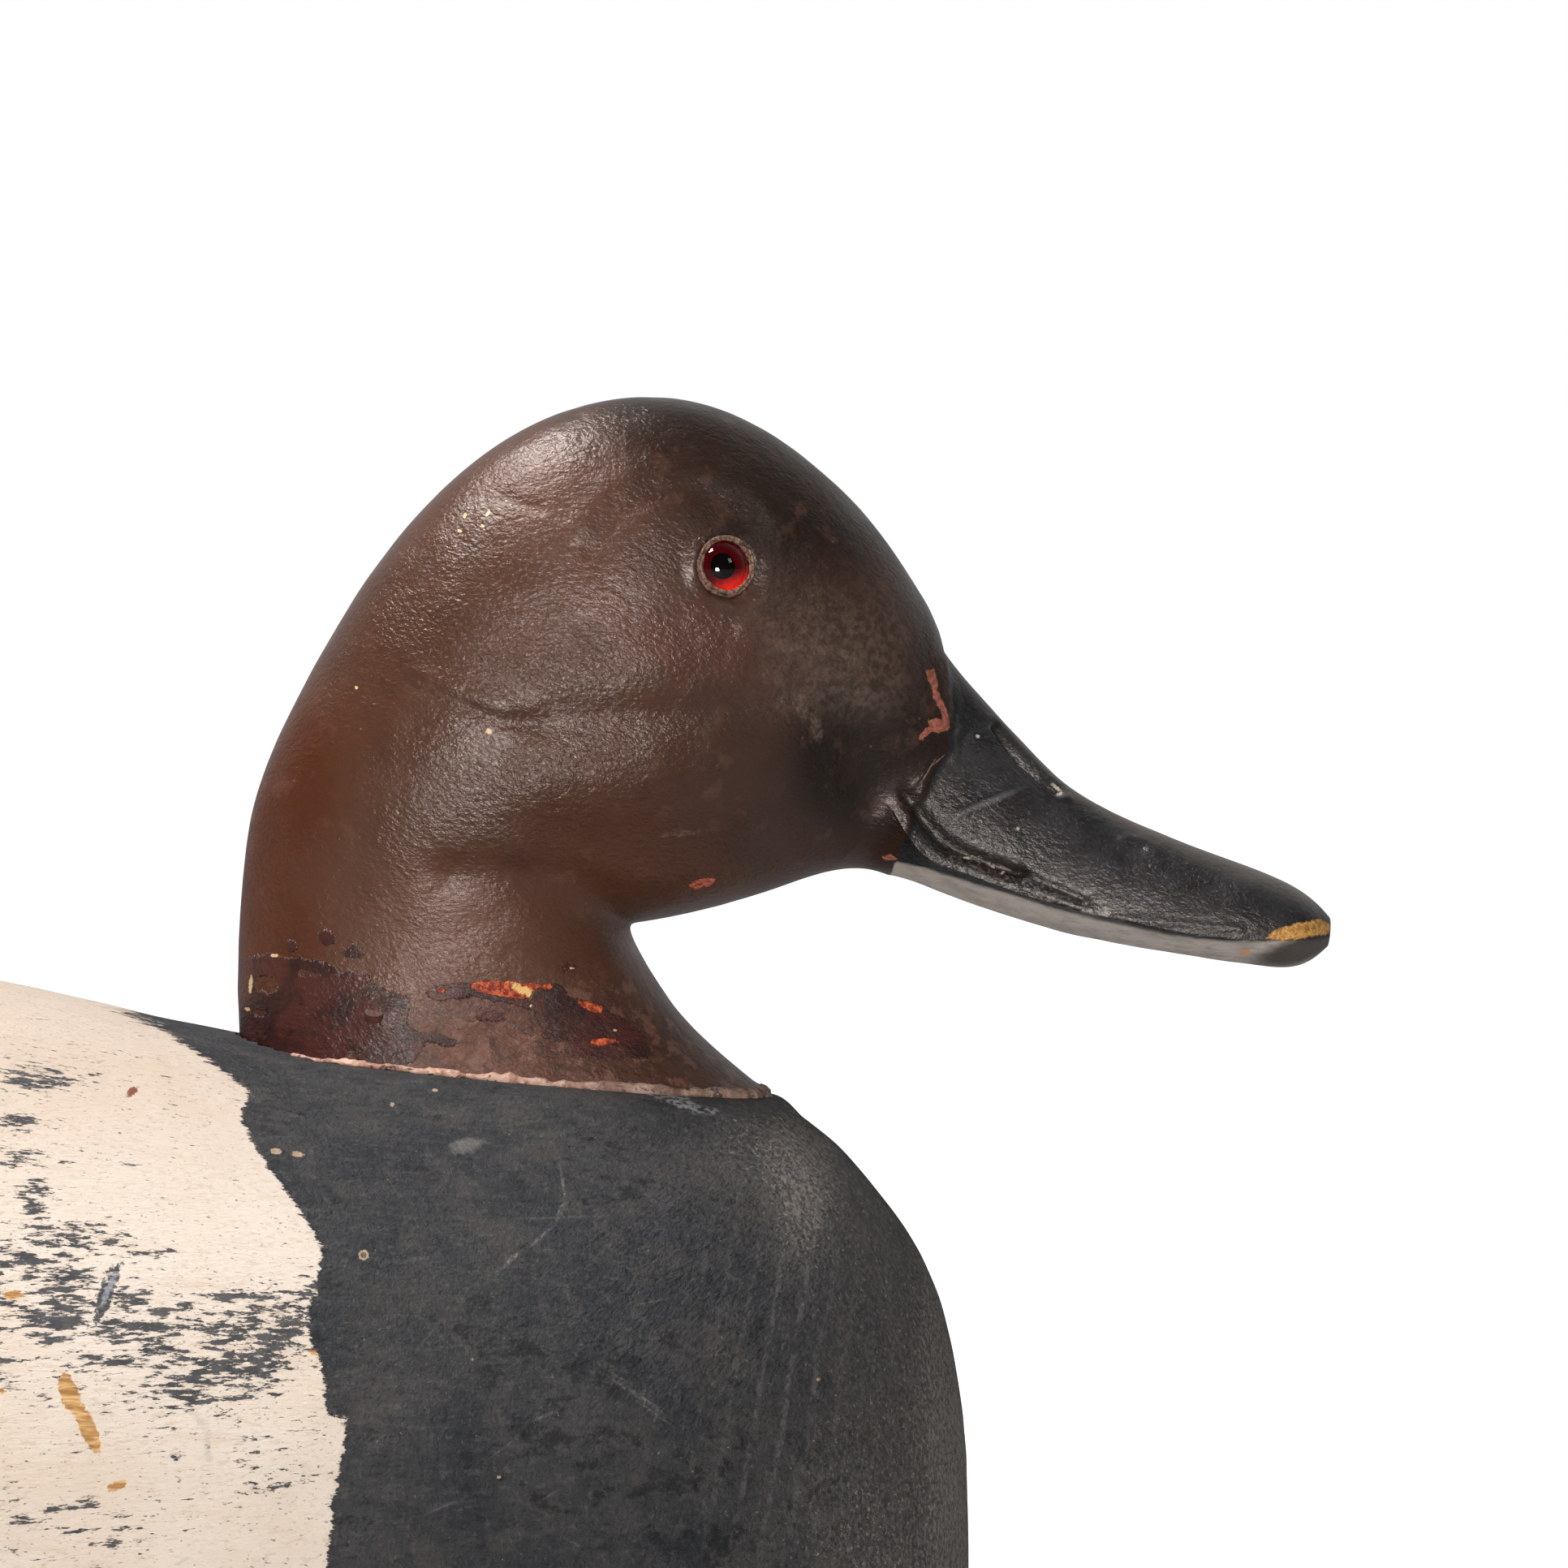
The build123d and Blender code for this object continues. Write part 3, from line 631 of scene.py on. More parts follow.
# ---------------------------------------------------------------- finishes
def head_paint():
    p = Paint("head_paint")
    tone, bill, old, chip = p.field("tone"), p.field("bill"), p.field("old"), p.field("chip")
    blotch, patch = p.noise(24, 4, 0.6), p.noise(5.0, 4, 0.6)
    fine = p.noise(0.75, 3, 0.6)
    apart = p.node("SeparateXYZ", {0: p.place})
    forward = p.step(apart, 0.110, 0.135)
    # brown, redder at the nape and almost black on the face
    mist = p.add(tone, p.times(p.math("SUBTRACT", blotch, 0.5), 0.32))
    brown = p.mix(p.step(mist, 0.02, 0.3), (0.068, 0.017, 0.0055), (0.076, 0.029, 0.015))
    brown = p.mix(p.step(mist, 0.3, 0.62), brown, (0.041, 0.0185, 0.0118))
    brown = p.mix(p.step(mist, 0.62, 1.0), brown, (0.011, 0.006, 0.004))
    # painted shade: the hollow between cheek and bill is darkened towards black
    brown = p.mix(p.times(p.field("hollow"), 0.75), brown, (0.009, 0.005, 0.003))
    # painted sheen: lighter, warmer brown up the neck and on the crown, in place of the lamps' highlights there
    brown = p.mix(p.times(p.field("neck"), 0.8), brown, (0.115, 0.038, 0.02))
    scuffs = [
        ((133.4, -23, 208.6), (2.6, 0.6), -25), ((138.5, -21, 207.9), (3.4, 0.7), -12),
        ((144.6, -18, 206.2), (2.6, 0.8), -30), ((136.8, -21, 199.6), (1.0, 2.6), 10),
        ((139.4, -20, 196.0), (0.9, 2.4), 12), ((93.0, -24, 203.2), (2.2, 0.7), -20),
        ((97.0, -25, 201.0), (1.8, 0.6), -10), ((108.0, -26, 203.0), (1.4, 0.5), 30),
        ((96.0, -16, 229.2), (2.4, 0.25), -22), ((84.0, -22, 200.4), (3.0, 0.3), -26),
        ((118.0, -25, 180.0), (3.0, 0.4), 5),
    ]
    scuffed = p.step(p.ragged(p.nearest(scuffs), 1.3, 1.3, 0.75), 0.4, -0.5)
    scuffed = p.times(scuffed, p.step(fine, 0.4, 0.6, 0.2, 1.0))
    brown = p.mix(p.times(scuffed, 0.3), brown, (0.26, 0.18, 0.13))
    specks = p.step(p.cells(2.6), 0.075, 0.05)
    brown = p.mix(p.times(specks, p.times(p.step(patch, 0.5, 0.62), 0.4)), brown, (0.3, 0.19, 0.12))
    brown = p.mix(p.times(p.step(patch, 0.56, 0.72), 0.22), brown, (0.17, 0.075, 0.05))
    brown = p.mix(p.times(p.step(patch, 0.44, 0.3), 0.3), brown, (0.03, 0.012, 0.008))
    ruddy = p.spot((119, -24, 210), (17, 7), -18, 20)
    brown = p.mix(p.times(p.step(p.ragged(ruddy, 4, 6), 3, -6), 0.4), brown, (0.11, 0.032, 0.02))
    # older maroon coat, bare where the brown has flaked off the foot of the neck
    flaked = p.inside(p.ragged(old, 1.1, 2.6, 0.75))
    maroon = p.mix(p.step(p.noise(6, 4), 0.42, 0.6), (0.027, 0.0085, 0.0075), (0.06, 0.0145, 0.011))
    maroon = p.mix(p.times(p.step(p.noise(1.6, 4, 0.7), 0.6, 0.7), 0.4), maroon, (0.1, 0.04, 0.03))
    band = p.field("band")
    plates = p.cells(4.2, where=p.stretch((0.6, 1, 1)), feature="DISTANCE_TO_EDGE")
    torn = p.step(p.ragged(p.times(plates, 3.0), 0.5, 1.6, 0.75), 0.25, 0.1)
    brown = p.mix(p.times(p.times(torn, band), 0.6), brown, (0.05, 0.02, 0.014))
    blistered = p.times(p.step(p.noise(3.2, 4, 0.7), 0.52, 0.6), band)
    brown = p.mix(p.times(blistered, 0.45), brown, (0.2, 0.09, 0.062))
    dry = p.times(p.field("dry"), p.step(p.noise(1.4, 5, 0.7), 0.4, 0.62, 0.35, 1.0))
    brown = p.mix(p.times(dry, 0.5), brown, (0.15, 0.1, 0.075))
    colour = p.mix(flaked, brown, maroon)
    # flakes that show the colours under both coats
    hole = p.ragged(chip, 0.5, 1.5, 0.72)
    chipped = p.inside(hole, 0.06)
    fleck = p.noise(0.8, 4, 0.7)
    orange = p.mix(p.step(fleck, 0.44, 0.62), (0.2, 0.022, 0.012), (0.66, 0.12, 0.03))
    yellow = p.inside(p.ragged(p.spot((94.8, -21.3, 156.1), (2.2, 0.6), -30), 0.9, 0.9, 0.75))
    orange = p.mix(yellow, orange, (0.78, 0.47, 0.16))
    salmon = p.mix(p.step(fleck, 0.4, 0.62), (0.22, 0.06, 0.038), (0.4, 0.125, 0.085))
    colour = p.mix(chipped, colour, p.mix(forward, orange, salmon))
    cream = [
        ((57.1, -12, 161.0), (0.6, 0.25)), ((53.5, -7.0, 156.4), (1.4, 0.3), 84),
        ((53.0, -6, 152.5), (0.4, 0.25)), ((89.3, -24.7, 195.7), (0.5, 0.42)),
        ((86.1, -11.2, 228.1), (0.4, 0.2), 70), ((85.3, -12.6, 225.8), (0.3, 0.2)),
        ((89.6, -13.3, 228.5), (0.5, 0.2), 60), ((88.7, -14.1, 226.6), (0.3, 0.2)),
        ((102.0, -18, 159.4), (0.3, 0.14)), ((95.7, -21, 153.9), (0.2, 0.2)),
        ((108.6, -18, 149.9), (0.3, 0.15)), ((69.5, -7.5, 202.0), (0.3, 0.3)),
    ]
    nicked = p.inside(p.ragged(p.nearest(cream), 0.25, 0.5, 0.75), 0.05)
    colour = p.mix(nicked, colour, (0.62, 0.43, 0.23))
    # the bill's black, rubbed grey in places, with brown priming in the slot between its halves
    black = p.mix(p.step(p.noise(7, 5, 0.7), 0.38, 0.62), (0.005, 0.0055, 0.0065), (0.0155, 0.016, 0.0175))
    rubbed = p.times(p.step(p.noise(0.5, 4, 0.75), 0.56, 0.7), p.step(patch, 0.4, 0.62, 0.2, 0.7))
    black = p.mix(rubbed, black, (0.11, 0.11, 0.115))
    top_edge = p.step(p.ragged(p.field("crest"), 1.2, 4), 3.2, 0.0)
    black = p.mix(p.times(top_edge, 0.55), black, (0.075, 0.056, 0.042))
    # painted reflection: the underside of the bill is painted pale grey-brown for the pale floor that it
    # mirrors, with darker streaks in it
    below = p.step(p.ragged(p.field("under"), 0.3, 2.5, 0.7), 0.35, -0.35)
    underside_reflection = p.mix(p.step(patch, 0.35, 0.62), (0.34, 0.29, 0.25), (0.46, 0.4, 0.35))
    darker_streaks = p.step(p.noise(1.8, 5, 0.75, where=p.stretch((0.4, 1, 1), (0, 0.3, 0))), 0.5, 0.66)
    underside_reflection = p.mix(p.times(darker_streaks, 0.45), underside_reflection, (0.14, 0.115, 0.1))
    black = p.mix(below, black, underside_reflection)
    gap = p.field("gap")
    black = p.mix(p.step(p.ragged(gap, 0.5, 1.6), 1.5, 0.4), black, (0.008, 0.005, 0.0035))
    crust = p.times(p.step(p.field("roll"), 1.7, 0.5), p.step(p.noise(0.7, 4, 0.75), 0.5, 0.64))
    black = p.mix(p.times(crust, 0.75), black, (0.13, 0.1, 0.085))
    on_bill = p.step(p.ragged(bill, 0.5, 1.8), -0.15, 0.15)
    on_bill = p.times(on_bill, p.step(p.add(bill, p.times(patch, 4)), 0.9, 2.2, 0.65, 1.0))
    colour = p.mix(on_bill, colour, black)
    nail = p.inside(p.ragged(p.spot((214.5, 0, 160.9), (7.0, 2.3), 14, 30), 0.3, 2), 0.8)
    colour = p.mix(p.times(nail, 0.9), colour, (0.016, 0.011, 0.009))
    worn_tip = p.inside(p.ragged(p.field("tip"), 0.55, 1.1, 0.75), 0.2)
    ochre = p.mix(p.step(fleck, 0.38, 0.62), (0.33, 0.14, 0.026), (0.62, 0.33, 0.09))
    colour = p.mix(worn_tip, colour, ochre)
    pale = [
        ((177.4, -4, 186.1), (0.9, 0.25), -38), ((163.3, -11, 175.5), (0.5, 0.15), -10),
        ((167.0, -11, 174.2), (0.4, 0.15), -25), ((168.6, -11, 173.2), (0.3, 0.15), 40),
        ((165.0, -9.5, 194.0), (0.25, 0.2)), ((171, -9, 180), (0.25, 0.2)),
    ]
    colour = p.mix(p.inside(p.ragged(p.nearest(pale), 0.3, 0.7, 0.7), 0.1), colour, (0.38, 0.33, 0.28))
    scrape = p.spot((166.6, -10, 184.1), (5.0, 0.55), 21)
    colour = p.mix(p.times(p.step(scrape, 0.3, -0.5), 0.5), colour, (0.13, 0.13, 0.13))
    dot = p.inside(p.ragged(p.spot((206.3, -9.7, 160.6), (0.8, 0.45), 15), 0.15, 0.6), 0.06)
    colour = p.mix(dot, colour, (0.6, 0.26, 0.12))
    crack = p.nearest([((157.0, -12, 188.9), (1.9, 0.1), 58), ((158.7, -11.5, 190.6), (1.3, 0.1), 38)])
    colour = p.mix(p.times(p.inside(p.ragged(crack, 0.12, 0.6), 0.06), 0.8), colour, (0.24, 0.13, 0.09))
    # relief: pebbled brush marks laid on thick, then the edges of the flakes
    coat = p.add(p.step(p.noise(11, 3), 0.38, 0.62, 0.45, 0.9), p.field("thick"))
    pebble = p.noise(0.6, 3, 0.6, where=p.stretch((0.6, 0.8, 1.0), (0, -0.5, 0)), distortion=0.4)
    lumps = p.noise(1.9, 3, 0.6, where=p.stretch((0.7, 0.8, 1.0), (0, -0.4, 0)))
    strokes = p.noise(0.6, 3, 0.6, where=p.stretch((0.12, 0.5, 1.0), (0, 0.06, 0)))
    normal = p.bump(p.times(pebble, coat), 0.24)
    normal = p.bump(p.times(lumps, coat), 0.16, normal)
    normal = p.bump(strokes, 0.07, normal)
    normal = p.bump(fine, 0.04, normal)
    normal = p.bump(p.times(p.noise(2.6, 5, 0.72, where=p.stretch((0.5, 1, 1))), band), 0.5, normal)
    normal = p.bump(flaked, -0.12, normal)
    normal = p.bump(chipped, -0.2, normal)
    normal = p.bump(crack, 0.1, normal)
    rough = p.step(p.noise(9, 3), 0.3, 0.7, 0.29, 0.375)
    rough = p.add(rough, p.times(band, 0.08))
    rough = p.add(rough, p.times(p.field("hollow"), 0.2))
    rough = p.add(rough, p.times(p.field("neck"), 0.14))
    rough = p.add(rough, p.times(on_bill, 0.06))
    rough = p.add(rough, p.times(p.both(chipped, worn_tip), 0.3))
    return p.surface(
        Base_Color=colour,
        Roughness=rough,
        Normal=normal,
        Specular_IOR_Level=0.5,
        Specular_Tint=(1.0, 0.84, 0.75),
        Coat_Weight=0.18,
        Coat_Roughness=0.22,
        Coat_Normal=normal,
    )


def hull_paint():
    p = Paint("hull_paint")
    white, worn = p.field("white"), p.field("worn")
    grain = p.stretch((0.1, 1.0, 1.0))
    # worn white: the black priming shows in streaks along the grain
    brushed = p.ragged(white, 1.5, 1.5, 0.8, where=p.stretch((0.25, 1, 1)))
    on_white = p.step(brushed, -0.1, 0.1)
    along = p.stretch((0.2, 1.0, 1.0), (0, 0.07, 0))
    long_lines = p.noise(0.8, 5, 0.75, where=p.stretch((0.11, 1.0, 1.0), (0, 0.09, 0)))
    streak = p.add(p.times(p.noise(1.3, 5, 0.75, where=along), 0.45), p.times(long_lines, 0.55))
    bare = p.step(p.add(streak, p.times(worn, 0.165)), 0.615, 0.633)
    pit = p.step(p.noise(0.5, 3, 0.65, where=p.stretch((0.35, 1, 1), (0, 0.07, 0))), 0.64, 0.68)
    cream = p.mix(p.step(p.noise(34, 4), 0.35, 0.7), (0.7, 0.595, 0.505), (0.67, 0.545, 0.435))
    tan = p.times(p.step(p.noise(0.7, 4, 0.7, where=p.stretch((0.3, 1, 1), (0, 0.12, 0))), 0.54, 0.66), 0.55)
    cream = p.mix(tan, cream, (0.54, 0.41, 0.305))
    cream = p.mix(p.times(p.step(p.noise(3, 4, where=grain), 0.52, 0.8), 0.45), cream, (0.58, 0.435, 0.31))
    high = p.step(p.node("SeparateXYZ", {0: p.place}, out=2), 0.118, 0.15)
    cream = p.mix(p.times(high, 0.45), cream, (0.49, 0.38, 0.295))
    grey_wash = p.step(p.noise(2.0, 5, 0.75, where=p.stretch((0.3, 1, 1), (0, 0.3, 0))), 0.6, 0.72)
    grey_wash = p.times(p.times(grey_wash, 0.4), p.step(p.noise(20, 3), 0.4, 0.6))
    cream = p.mix(grey_wash, cream, (0.42, 0.37, 0.33))
    dark = p.mix(p.step(p.noise(3, 3), 0.35, 0.65), (0.045, 0.045, 0.048), (0.085, 0.08, 0.078))
    cream = p.mix(p.both(bare, p.times(pit, 0.75)), cream, dark)
    wood_spots = [
        ((25.6, -84, 101.6), (3.2, 1.35), -72), ((28.2, -85.5, 96.8), (3.8, 1.2), -66),
        ((17.4, -78, 115.6), (1.6, 0.55)), ((32.3, -87, 88.5), (1.5, 0.6), 18),
        ((15.8, -85, 102.3), (0.9, 0.3)), ((62.0, -76, 106.5), (1.1, 0.45), -10),
        ((-38, -86, 104), (2.6, 0.9), -70), ((-61, -86, 88), (1.6, 0.5)),
    ]
    wood = p.inside(p.ragged(p.nearest(wood_spots), 0.7, 1.3, 0.75), 0.1)
    ochre = p.mix(p.step(p.noise(0.8, 3, where=grain), 0.4, 0.65), (0.36, 0.17, 0.05), (0.66, 0.4, 0.16))
    cream = p.mix(wood, cream, ochre)
    stain = p.inside(p.ragged(p.spot((35.1, -45, 142.8), (0.9, 0.5), 30), 0.4, 0.7), 0.1)
    cream = p.mix(stain, cream, (0.2, 0.06, 0.035))
    knot = p.spot((30.9, -77, 115.4), (4.3, 1.15), 68, 20)
    through = p.step(p.add(streak, p.times(worn, 0.1)), 0.44, 0.52)
    eye_of_knot = p.times(p.inside(p.ragged(knot, 1.5, 1.3, 0.8), 0.15), through)
    cream = p.mix(eye_of_knot, cream, dark)
    # painted highlight: a bluish grey streak inside the knot, where its gloss catches the light
    knot_grey_highlight = p.ragged(p.spot((31.5, -77, 116.4), (2.6, 0.42), 64, 20), 0.8, 0.8, 0.8)
    cream = p.mix(p.times(p.inside(knot_grey_highlight, 0.15), 0.7), cream, (0.3, 0.3, 0.33))
    pencil = p.nearest([((44.4, -83, 97.6), (2.2, 0.7), -50), ((45.8, -83.5, 93.8), (2.4, 0.4), -85)])
    cream = p.mix(p.times(p.step(p.ragged(pencil, 0.8, 2), 0.5, -0.8), 0.4), cream, (0.33, 0.29, 0.25))
    # charcoal with rubbed grey grain, dust in its low places, a painted sheen and reflection toward the rim and
    # shoulder, scratches and nicks
    charcoal = p.mix(p.step(p.noise(20, 5, 0.6), 0.35, 0.65), (0.022, 0.0235, 0.027), (0.042, 0.04, 0.04))
    fibres = p.noise(1.3, 5, 0.75, where=p.stretch((0.16, 1, 1), (0, 0.05, 0)))
    charcoal = p.mix(p.times(p.step(fibres, 0.52, 0.7), 0.45), charcoal, (0.095, 0.089, 0.084))
    charcoal = p.mix(p.times(p.step(fibres, 0.48, 0.34), 0.7), charcoal, (0.009, 0.01, 0.012))
    charcoal = p.mix(p.times(p.step(p.noise(1.5, 5, 0.75), 0.54, 0.68), 0.4), charcoal, (0.12, 0.11, 0.1))
    charcoal = p.mix(p.times(p.step(p.noise(9, 5, 0.7), 0.5, 0.62), 0.3), charcoal, (0.085, 0.072, 0.062))
    unrubbed = p.noise(4, 5, 0.75, where=p.stretch((0.6, 1, 1)))
    unrubbed = p.math("SUBTRACT", unrubbed, p.times(p.field("deep"), 0.13))
    charcoal = p.mix(p.times(p.step(unrubbed, 0.43, 0.33), 0.8), charcoal, (0.0085, 0.0085, 0.0095))
    # pale dust on the breast, and at the rim and shoulder a painted reflection and sheen
    dust_sheen = p.field("dust_and_sheen")
    speckle = p.step(p.add(p.noise(0.9, 4, 0.75), p.times(p.math("MINIMUM", dust_sheen, 1.0), 0.15)), 0.66, 0.73)
    charcoal = p.mix(p.times(speckle, 0.6), charcoal, (0.4, 0.35, 0.29))
    powder = p.step(p.noise(0.8, 4, 0.75, where=p.stretch((0.6, 1, 1), (0, 0.5, 0))), 0.4, 0.62, 0.12, 0.62)
    charcoal = p.mix(p.times(dust_sheen, powder), charcoal, (0.25, 0.22, 0.195))
    # painted highlight: lighter grey bands along the rasp marks on the breast, where their ridges catch the
    # light
    turned = p.stretch((1, 1, 1), (0, -0.22, 0))
    wave = {"Vector": turned, "Scale": 74.0, "Distortion": 3.4, "Detail": 3, "Detail Scale": 0.35}
    wave["Detail Roughness"] = 0.6
    bands = p.node("TexWave", wave, out=1, wave_type="BANDS", bands_direction="X")
    broken = p.step(p.noise(2.2, 4, 0.7), 0.42, 0.58)
    rasp_ridge_highlight = p.times(p.times(p.step(bands, 0.8, 1.0), broken), p.field("rasp"))
    charcoal = p.mix(p.times(rasp_ridge_highlight, 0.35), charcoal, (0.19, 0.18, 0.17))
    thin = [
        ((99.4, -46, 128.4), (3.9, 0.28), -84), ((98.8, -49, 125.0), (1.6, 0.5), 60),
        ((95.6, -55, 121.6), (2.6, 0.3), 36), ((91.0, -59, 118.6), (2.4, 0.4), 40),
        ((99.2, -51, 124.2), (6.6, 0.16), 0), ((88.9, -61, 117.0), (0.9, 0.3), 60),
        ((108.2, -64, 99.6), (4.6, 0.32), -34), ((110.8, -64, 98.0), (4.8, 0.3), -38),
        ((111.9, -64, 96.2), (3.6, 0.26), -36), ((107.2, -64, 101.3), (2.6, 0.2), -30),
        ((95.5, -70, 96.5), (1.6, 0.3), 20), ((89.0, -70, 92), (2.4, 0.2), 35),
        ((96, -70, 85), (2.0, 0.18), 30), ((112, -55, 112), (3.4, 0.14), 8),
        ((78, -66, 108), (2.2, 0.14), 50), ((122, -52, 104), (3.0, 0.16), 4),
        ((99.5, -68, 78), (1.6, 0.3), -30), ((80, -76, 84), (2.4, 0.16), 20), ((120, 45, 110), (6, 0.3), -30),
        ((95, 62, 104), (7, 0.25), 24), ((84, 68, 92), (4, 0.3), 70), ((137, -30, 112), (2.0, 0.2), -60),
    ]
    scratched = p.step(p.ragged(p.nearest(thin, 20), 0.5, 0.8, 0.8), 0.1, -0.2)
    scratched = p.times(scratched, p.step(p.noise(0.8, 3, 0.7), 0.44, 0.62, 0.08, 0.6))
    charcoal = p.mix(scratched, charcoal, (0.3, 0.28, 0.25))
    smear = p.spot((84.9, -42.4, 134.2), (2.6, 1.0), 6, 20)
    charcoal = p.mix(p.times(p.step(p.ragged(smear, 0.7, 1.2), 0.3, -0.5), 0.45), charcoal, (0.24, 0.22, 0.2))
    nicks = [
        ((56.4, -51.4, 134.3), (0.85, 0.42), -6), ((59.6, -51.3, 133.8), (0.9, 0.34), -4),
        ((80.8, -31.2, 141.8), (0.45, 0.2)), ((74.2, -34.8, 139.9), (0.34, 0.28)),
        ((137.5, -48, 99.3), (0.35, 0.25)), ((69.0, -64.6, 119.9), (0.75, 0.7)),
        ((88.5, -74, 88), (0.3, 0.2)), ((72, 60, 120), (0.9, 0.5)), ((104, 52, 116), (0.6, 0.4)),
    ]
    nicked = p.inside(p.ragged(p.nearest(nicks), 0.25, 0.5, 0.75), 0.06)
    charcoal = p.mix(p.times(nicked, 0.85), charcoal, (0.5, 0.35, 0.23))
    charcoal = p.mix(p.inside(p.spot((69.0, -64.6, 119.9), (0.45, 0.42)), 0.08), charcoal, (0.13, 0.09, 0.06))
    rub = [
        ((114.3, -22.3, 141.0), (2.6, 0.9), -20), ((118.4, -23, 139.3), (3.2, 0.8), -24),
        ((122.4, -24, 138.0), (2.2, 0.5), -16),
    ]
    rubbed = p.inside(p.ragged(p.nearest(rub, 20), 0.9, 1.4, 0.75), 0.3)
    rubbed = p.times(rubbed, p.step(p.noise(1.1, 3), 0.42, 0.6))
    charcoal = p.mix(p.times(rubbed, 0.75), charcoal, (0.36, 0.35, 0.35))
    colour = p.mix(on_white, charcoal, cream)
    # relief
    fibre = p.noise(0.5, 4, 0.65, where=grain)
    pebble = p.noise(1.1, 4, 0.7)
    rasp = p.noise(0.8, 3, 0.6, where=p.stretch((0.3, 1, 1.4), (0, 0.65, 0)))
    teeth = p.noise(0.9, 3, 0.6, where=p.stretch((1, 0.25, 0.1), (0, 0.12, 0)))
    breast = p.field("breast")
    normal = p.bump(fibre, 0.22)
    normal = p.bump(fibres, 0.42, normal)
    normal = p.bump(pebble, p.step(on_white, 0.0, 1.0, 0.0008, 0.00012), normal, metres=True)
    normal = p.bump(p.times(rasp, breast), 0.75, normal)
    normal = p.bump(p.times(teeth, p.times(breast, p.step(p.noise(16, 3), 0.42, 0.6))), 0.25, normal)
    normal = p.bump(p.times(on_white, p.math("SUBTRACT", 1.0, bare)), 0.09, normal)
    normal = p.bump(p.noise(1.1, 3), p.add(0.00001, p.times(rubbed, 0.0004)), normal, metres=True)
    rough = p.step(p.noise(8, 3), 0.3, 0.7, 0.6, 0.78)
    rough = p.math("SUBTRACT", rough, p.times(p.both(rubbed, eye_of_knot), 0.25))
    return p.surface(Base_Color=colour, Roughness=rough, Normal=normal, Specular_IOR_Level=0.34)


def plain_finish(name, colours, size, rough, metal=0.0, relief=0.05, grain=(1, 1, 1), level=0.5):
    """A finish of two colours mottled together, with relief."""
    p = Paint(name)
    where = p.stretch(grain)
    mottle = p.noise(size, 4, 0.6, where=where)
    fine = p.noise(size * 0.22, 3, 0.6, where=where)
    colour = p.mix(p.step(mottle, 0.36, 0.64), colours[0], colours[1])
    if len(colours) > 2:
        colour = p.mix(p.step(p.noise(size * 0.6, 5, 0.7), 0.58, 0.68), colour, colours[2])
    normal = p.bump(fine, relief)
    normal = p.bump(mottle, relief * 2, normal)
    roughness = p.step(fine, 0.3, 0.7, rough[0], rough[1])
    return p.surface(
        Base_Color=colour, Roughness=roughness, Metallic=metal, Normal=normal, Specular_IOR_Level=level
    )


def clear_glass():
    """Glass that lets the lamps through to the enamel behind it."""
    p = Paint("eye_glass_clear")
    p.surface(
        Base_Color=(1.0, 0.97, 0.95),
        Roughness=p.step(p.noise(0.4, 2), 0.3, 0.7, 0.0, 0.004),
        IOR=1.5,
        Transmission_Weight=1.0,
    )
    shader = p.output.inputs["Surface"].links[0].from_socket
    through = p.node("BsdfTransparent", {"Color": (1.0, 0.95, 0.93)})
    shadow = p.node("LightPath", {}, out=1)
    both = p.node("MixShader", {0: shadow, 1: shader, 2: through})
    p.tree.links.new(both, p.output.inputs["Surface"])
    return p.material


# ---------------------------------------------------------------- make the wooden pieces
HEAD_ROWS, HEAD_AROUND = 400, 236
HULL_ROWS, HULL_AROUND = 420, 240

WHITE_EDGE = [
    (33.0, 152.6), (35.4, 151.7), (39.7, 150.3), (42.2, 148.9), (45.9, 146.7), (49.8, 144.4), (52.7, 142.2),
    (51.3, 138.7), (53.5, 134.7), (57.3, 129.3), (60.1, 125.6), (62.8, 120.9), (61.8, 115.1), (60.7, 112.4),
    (60.8, 108.3), (63.0, 103.9), (63.0, 97.6), (66.1, 96.8), (65.2, 90.8), (63.9, 85.4), (63.0, 76.6),
    (61.5, 60.0), (60.0, 40.0), (60.0, 20.0),
]
# Each worn place on the white is its middle in the side view, half its length and half its height.
WORN = [
    (21.1, 144.9, 6.0, 1.5), (17.6, 139.2, 3, 0.9), (18.1, 134.3, 3.4, 1.3), (20.6, 128.3, 1.6, 2.8),
    (27.4, 123.0, 5.6, 1.7), (38.1, 121.1, 5.6, 0.8), (19.7, 120.9, 2.6, 1.3), (25.2, 116.4, 3.2, 3.4),
    (23.8, 112.0, 4.0, 2.2), (35.3, 110.7, 5.4, 2.2), (35.1, 115.2, 3, 1.1), (51.8, 114.8, 9.0, 0.8),
    (54.3, 110.0, 8.0, 2.6), (31.3, 106.0, 3, 0.9), (38.9, 106.9, 5, 0.9), (49.8, 104.7, 6.4, 1.9),
    (43.8, 101.6, 7.6, 1.3), (56.1, 88.4, 2.8, 1.0), (28.8, 85.2, 3.2, 1.1), (35.1, 83.6, 3, 0.7),
    (19.4, 83.2, 4, 0.9), (31.5, 80.9, 4, 0.8), (6.0, 119.0, 12, 3.4), (-4.0, 105.0, 16, 2.2),
    (-24.0, 114.0, 22, 4), (-34.0, 127.0, 14, 1.6), (-56.0, 106.0, 26, 3.4), (-78.0, 119.0, 20, 2),
    (-98.0, 104.0, 20, 4), (-122.0, 112.0, 14, 3), (-62.0, 84.0, 22, 1.8), (-12.0, 79.0, 16, 1.6),
    (-108.0, 86.0, 18, 1.8), (4.0, 64.0, 15, 1.3), (-52.0, 60.0, 20, 1.6),
]

WORN_SPREAD = (1.3, 1.35)  # how far past its half length and half height a worn place fades out
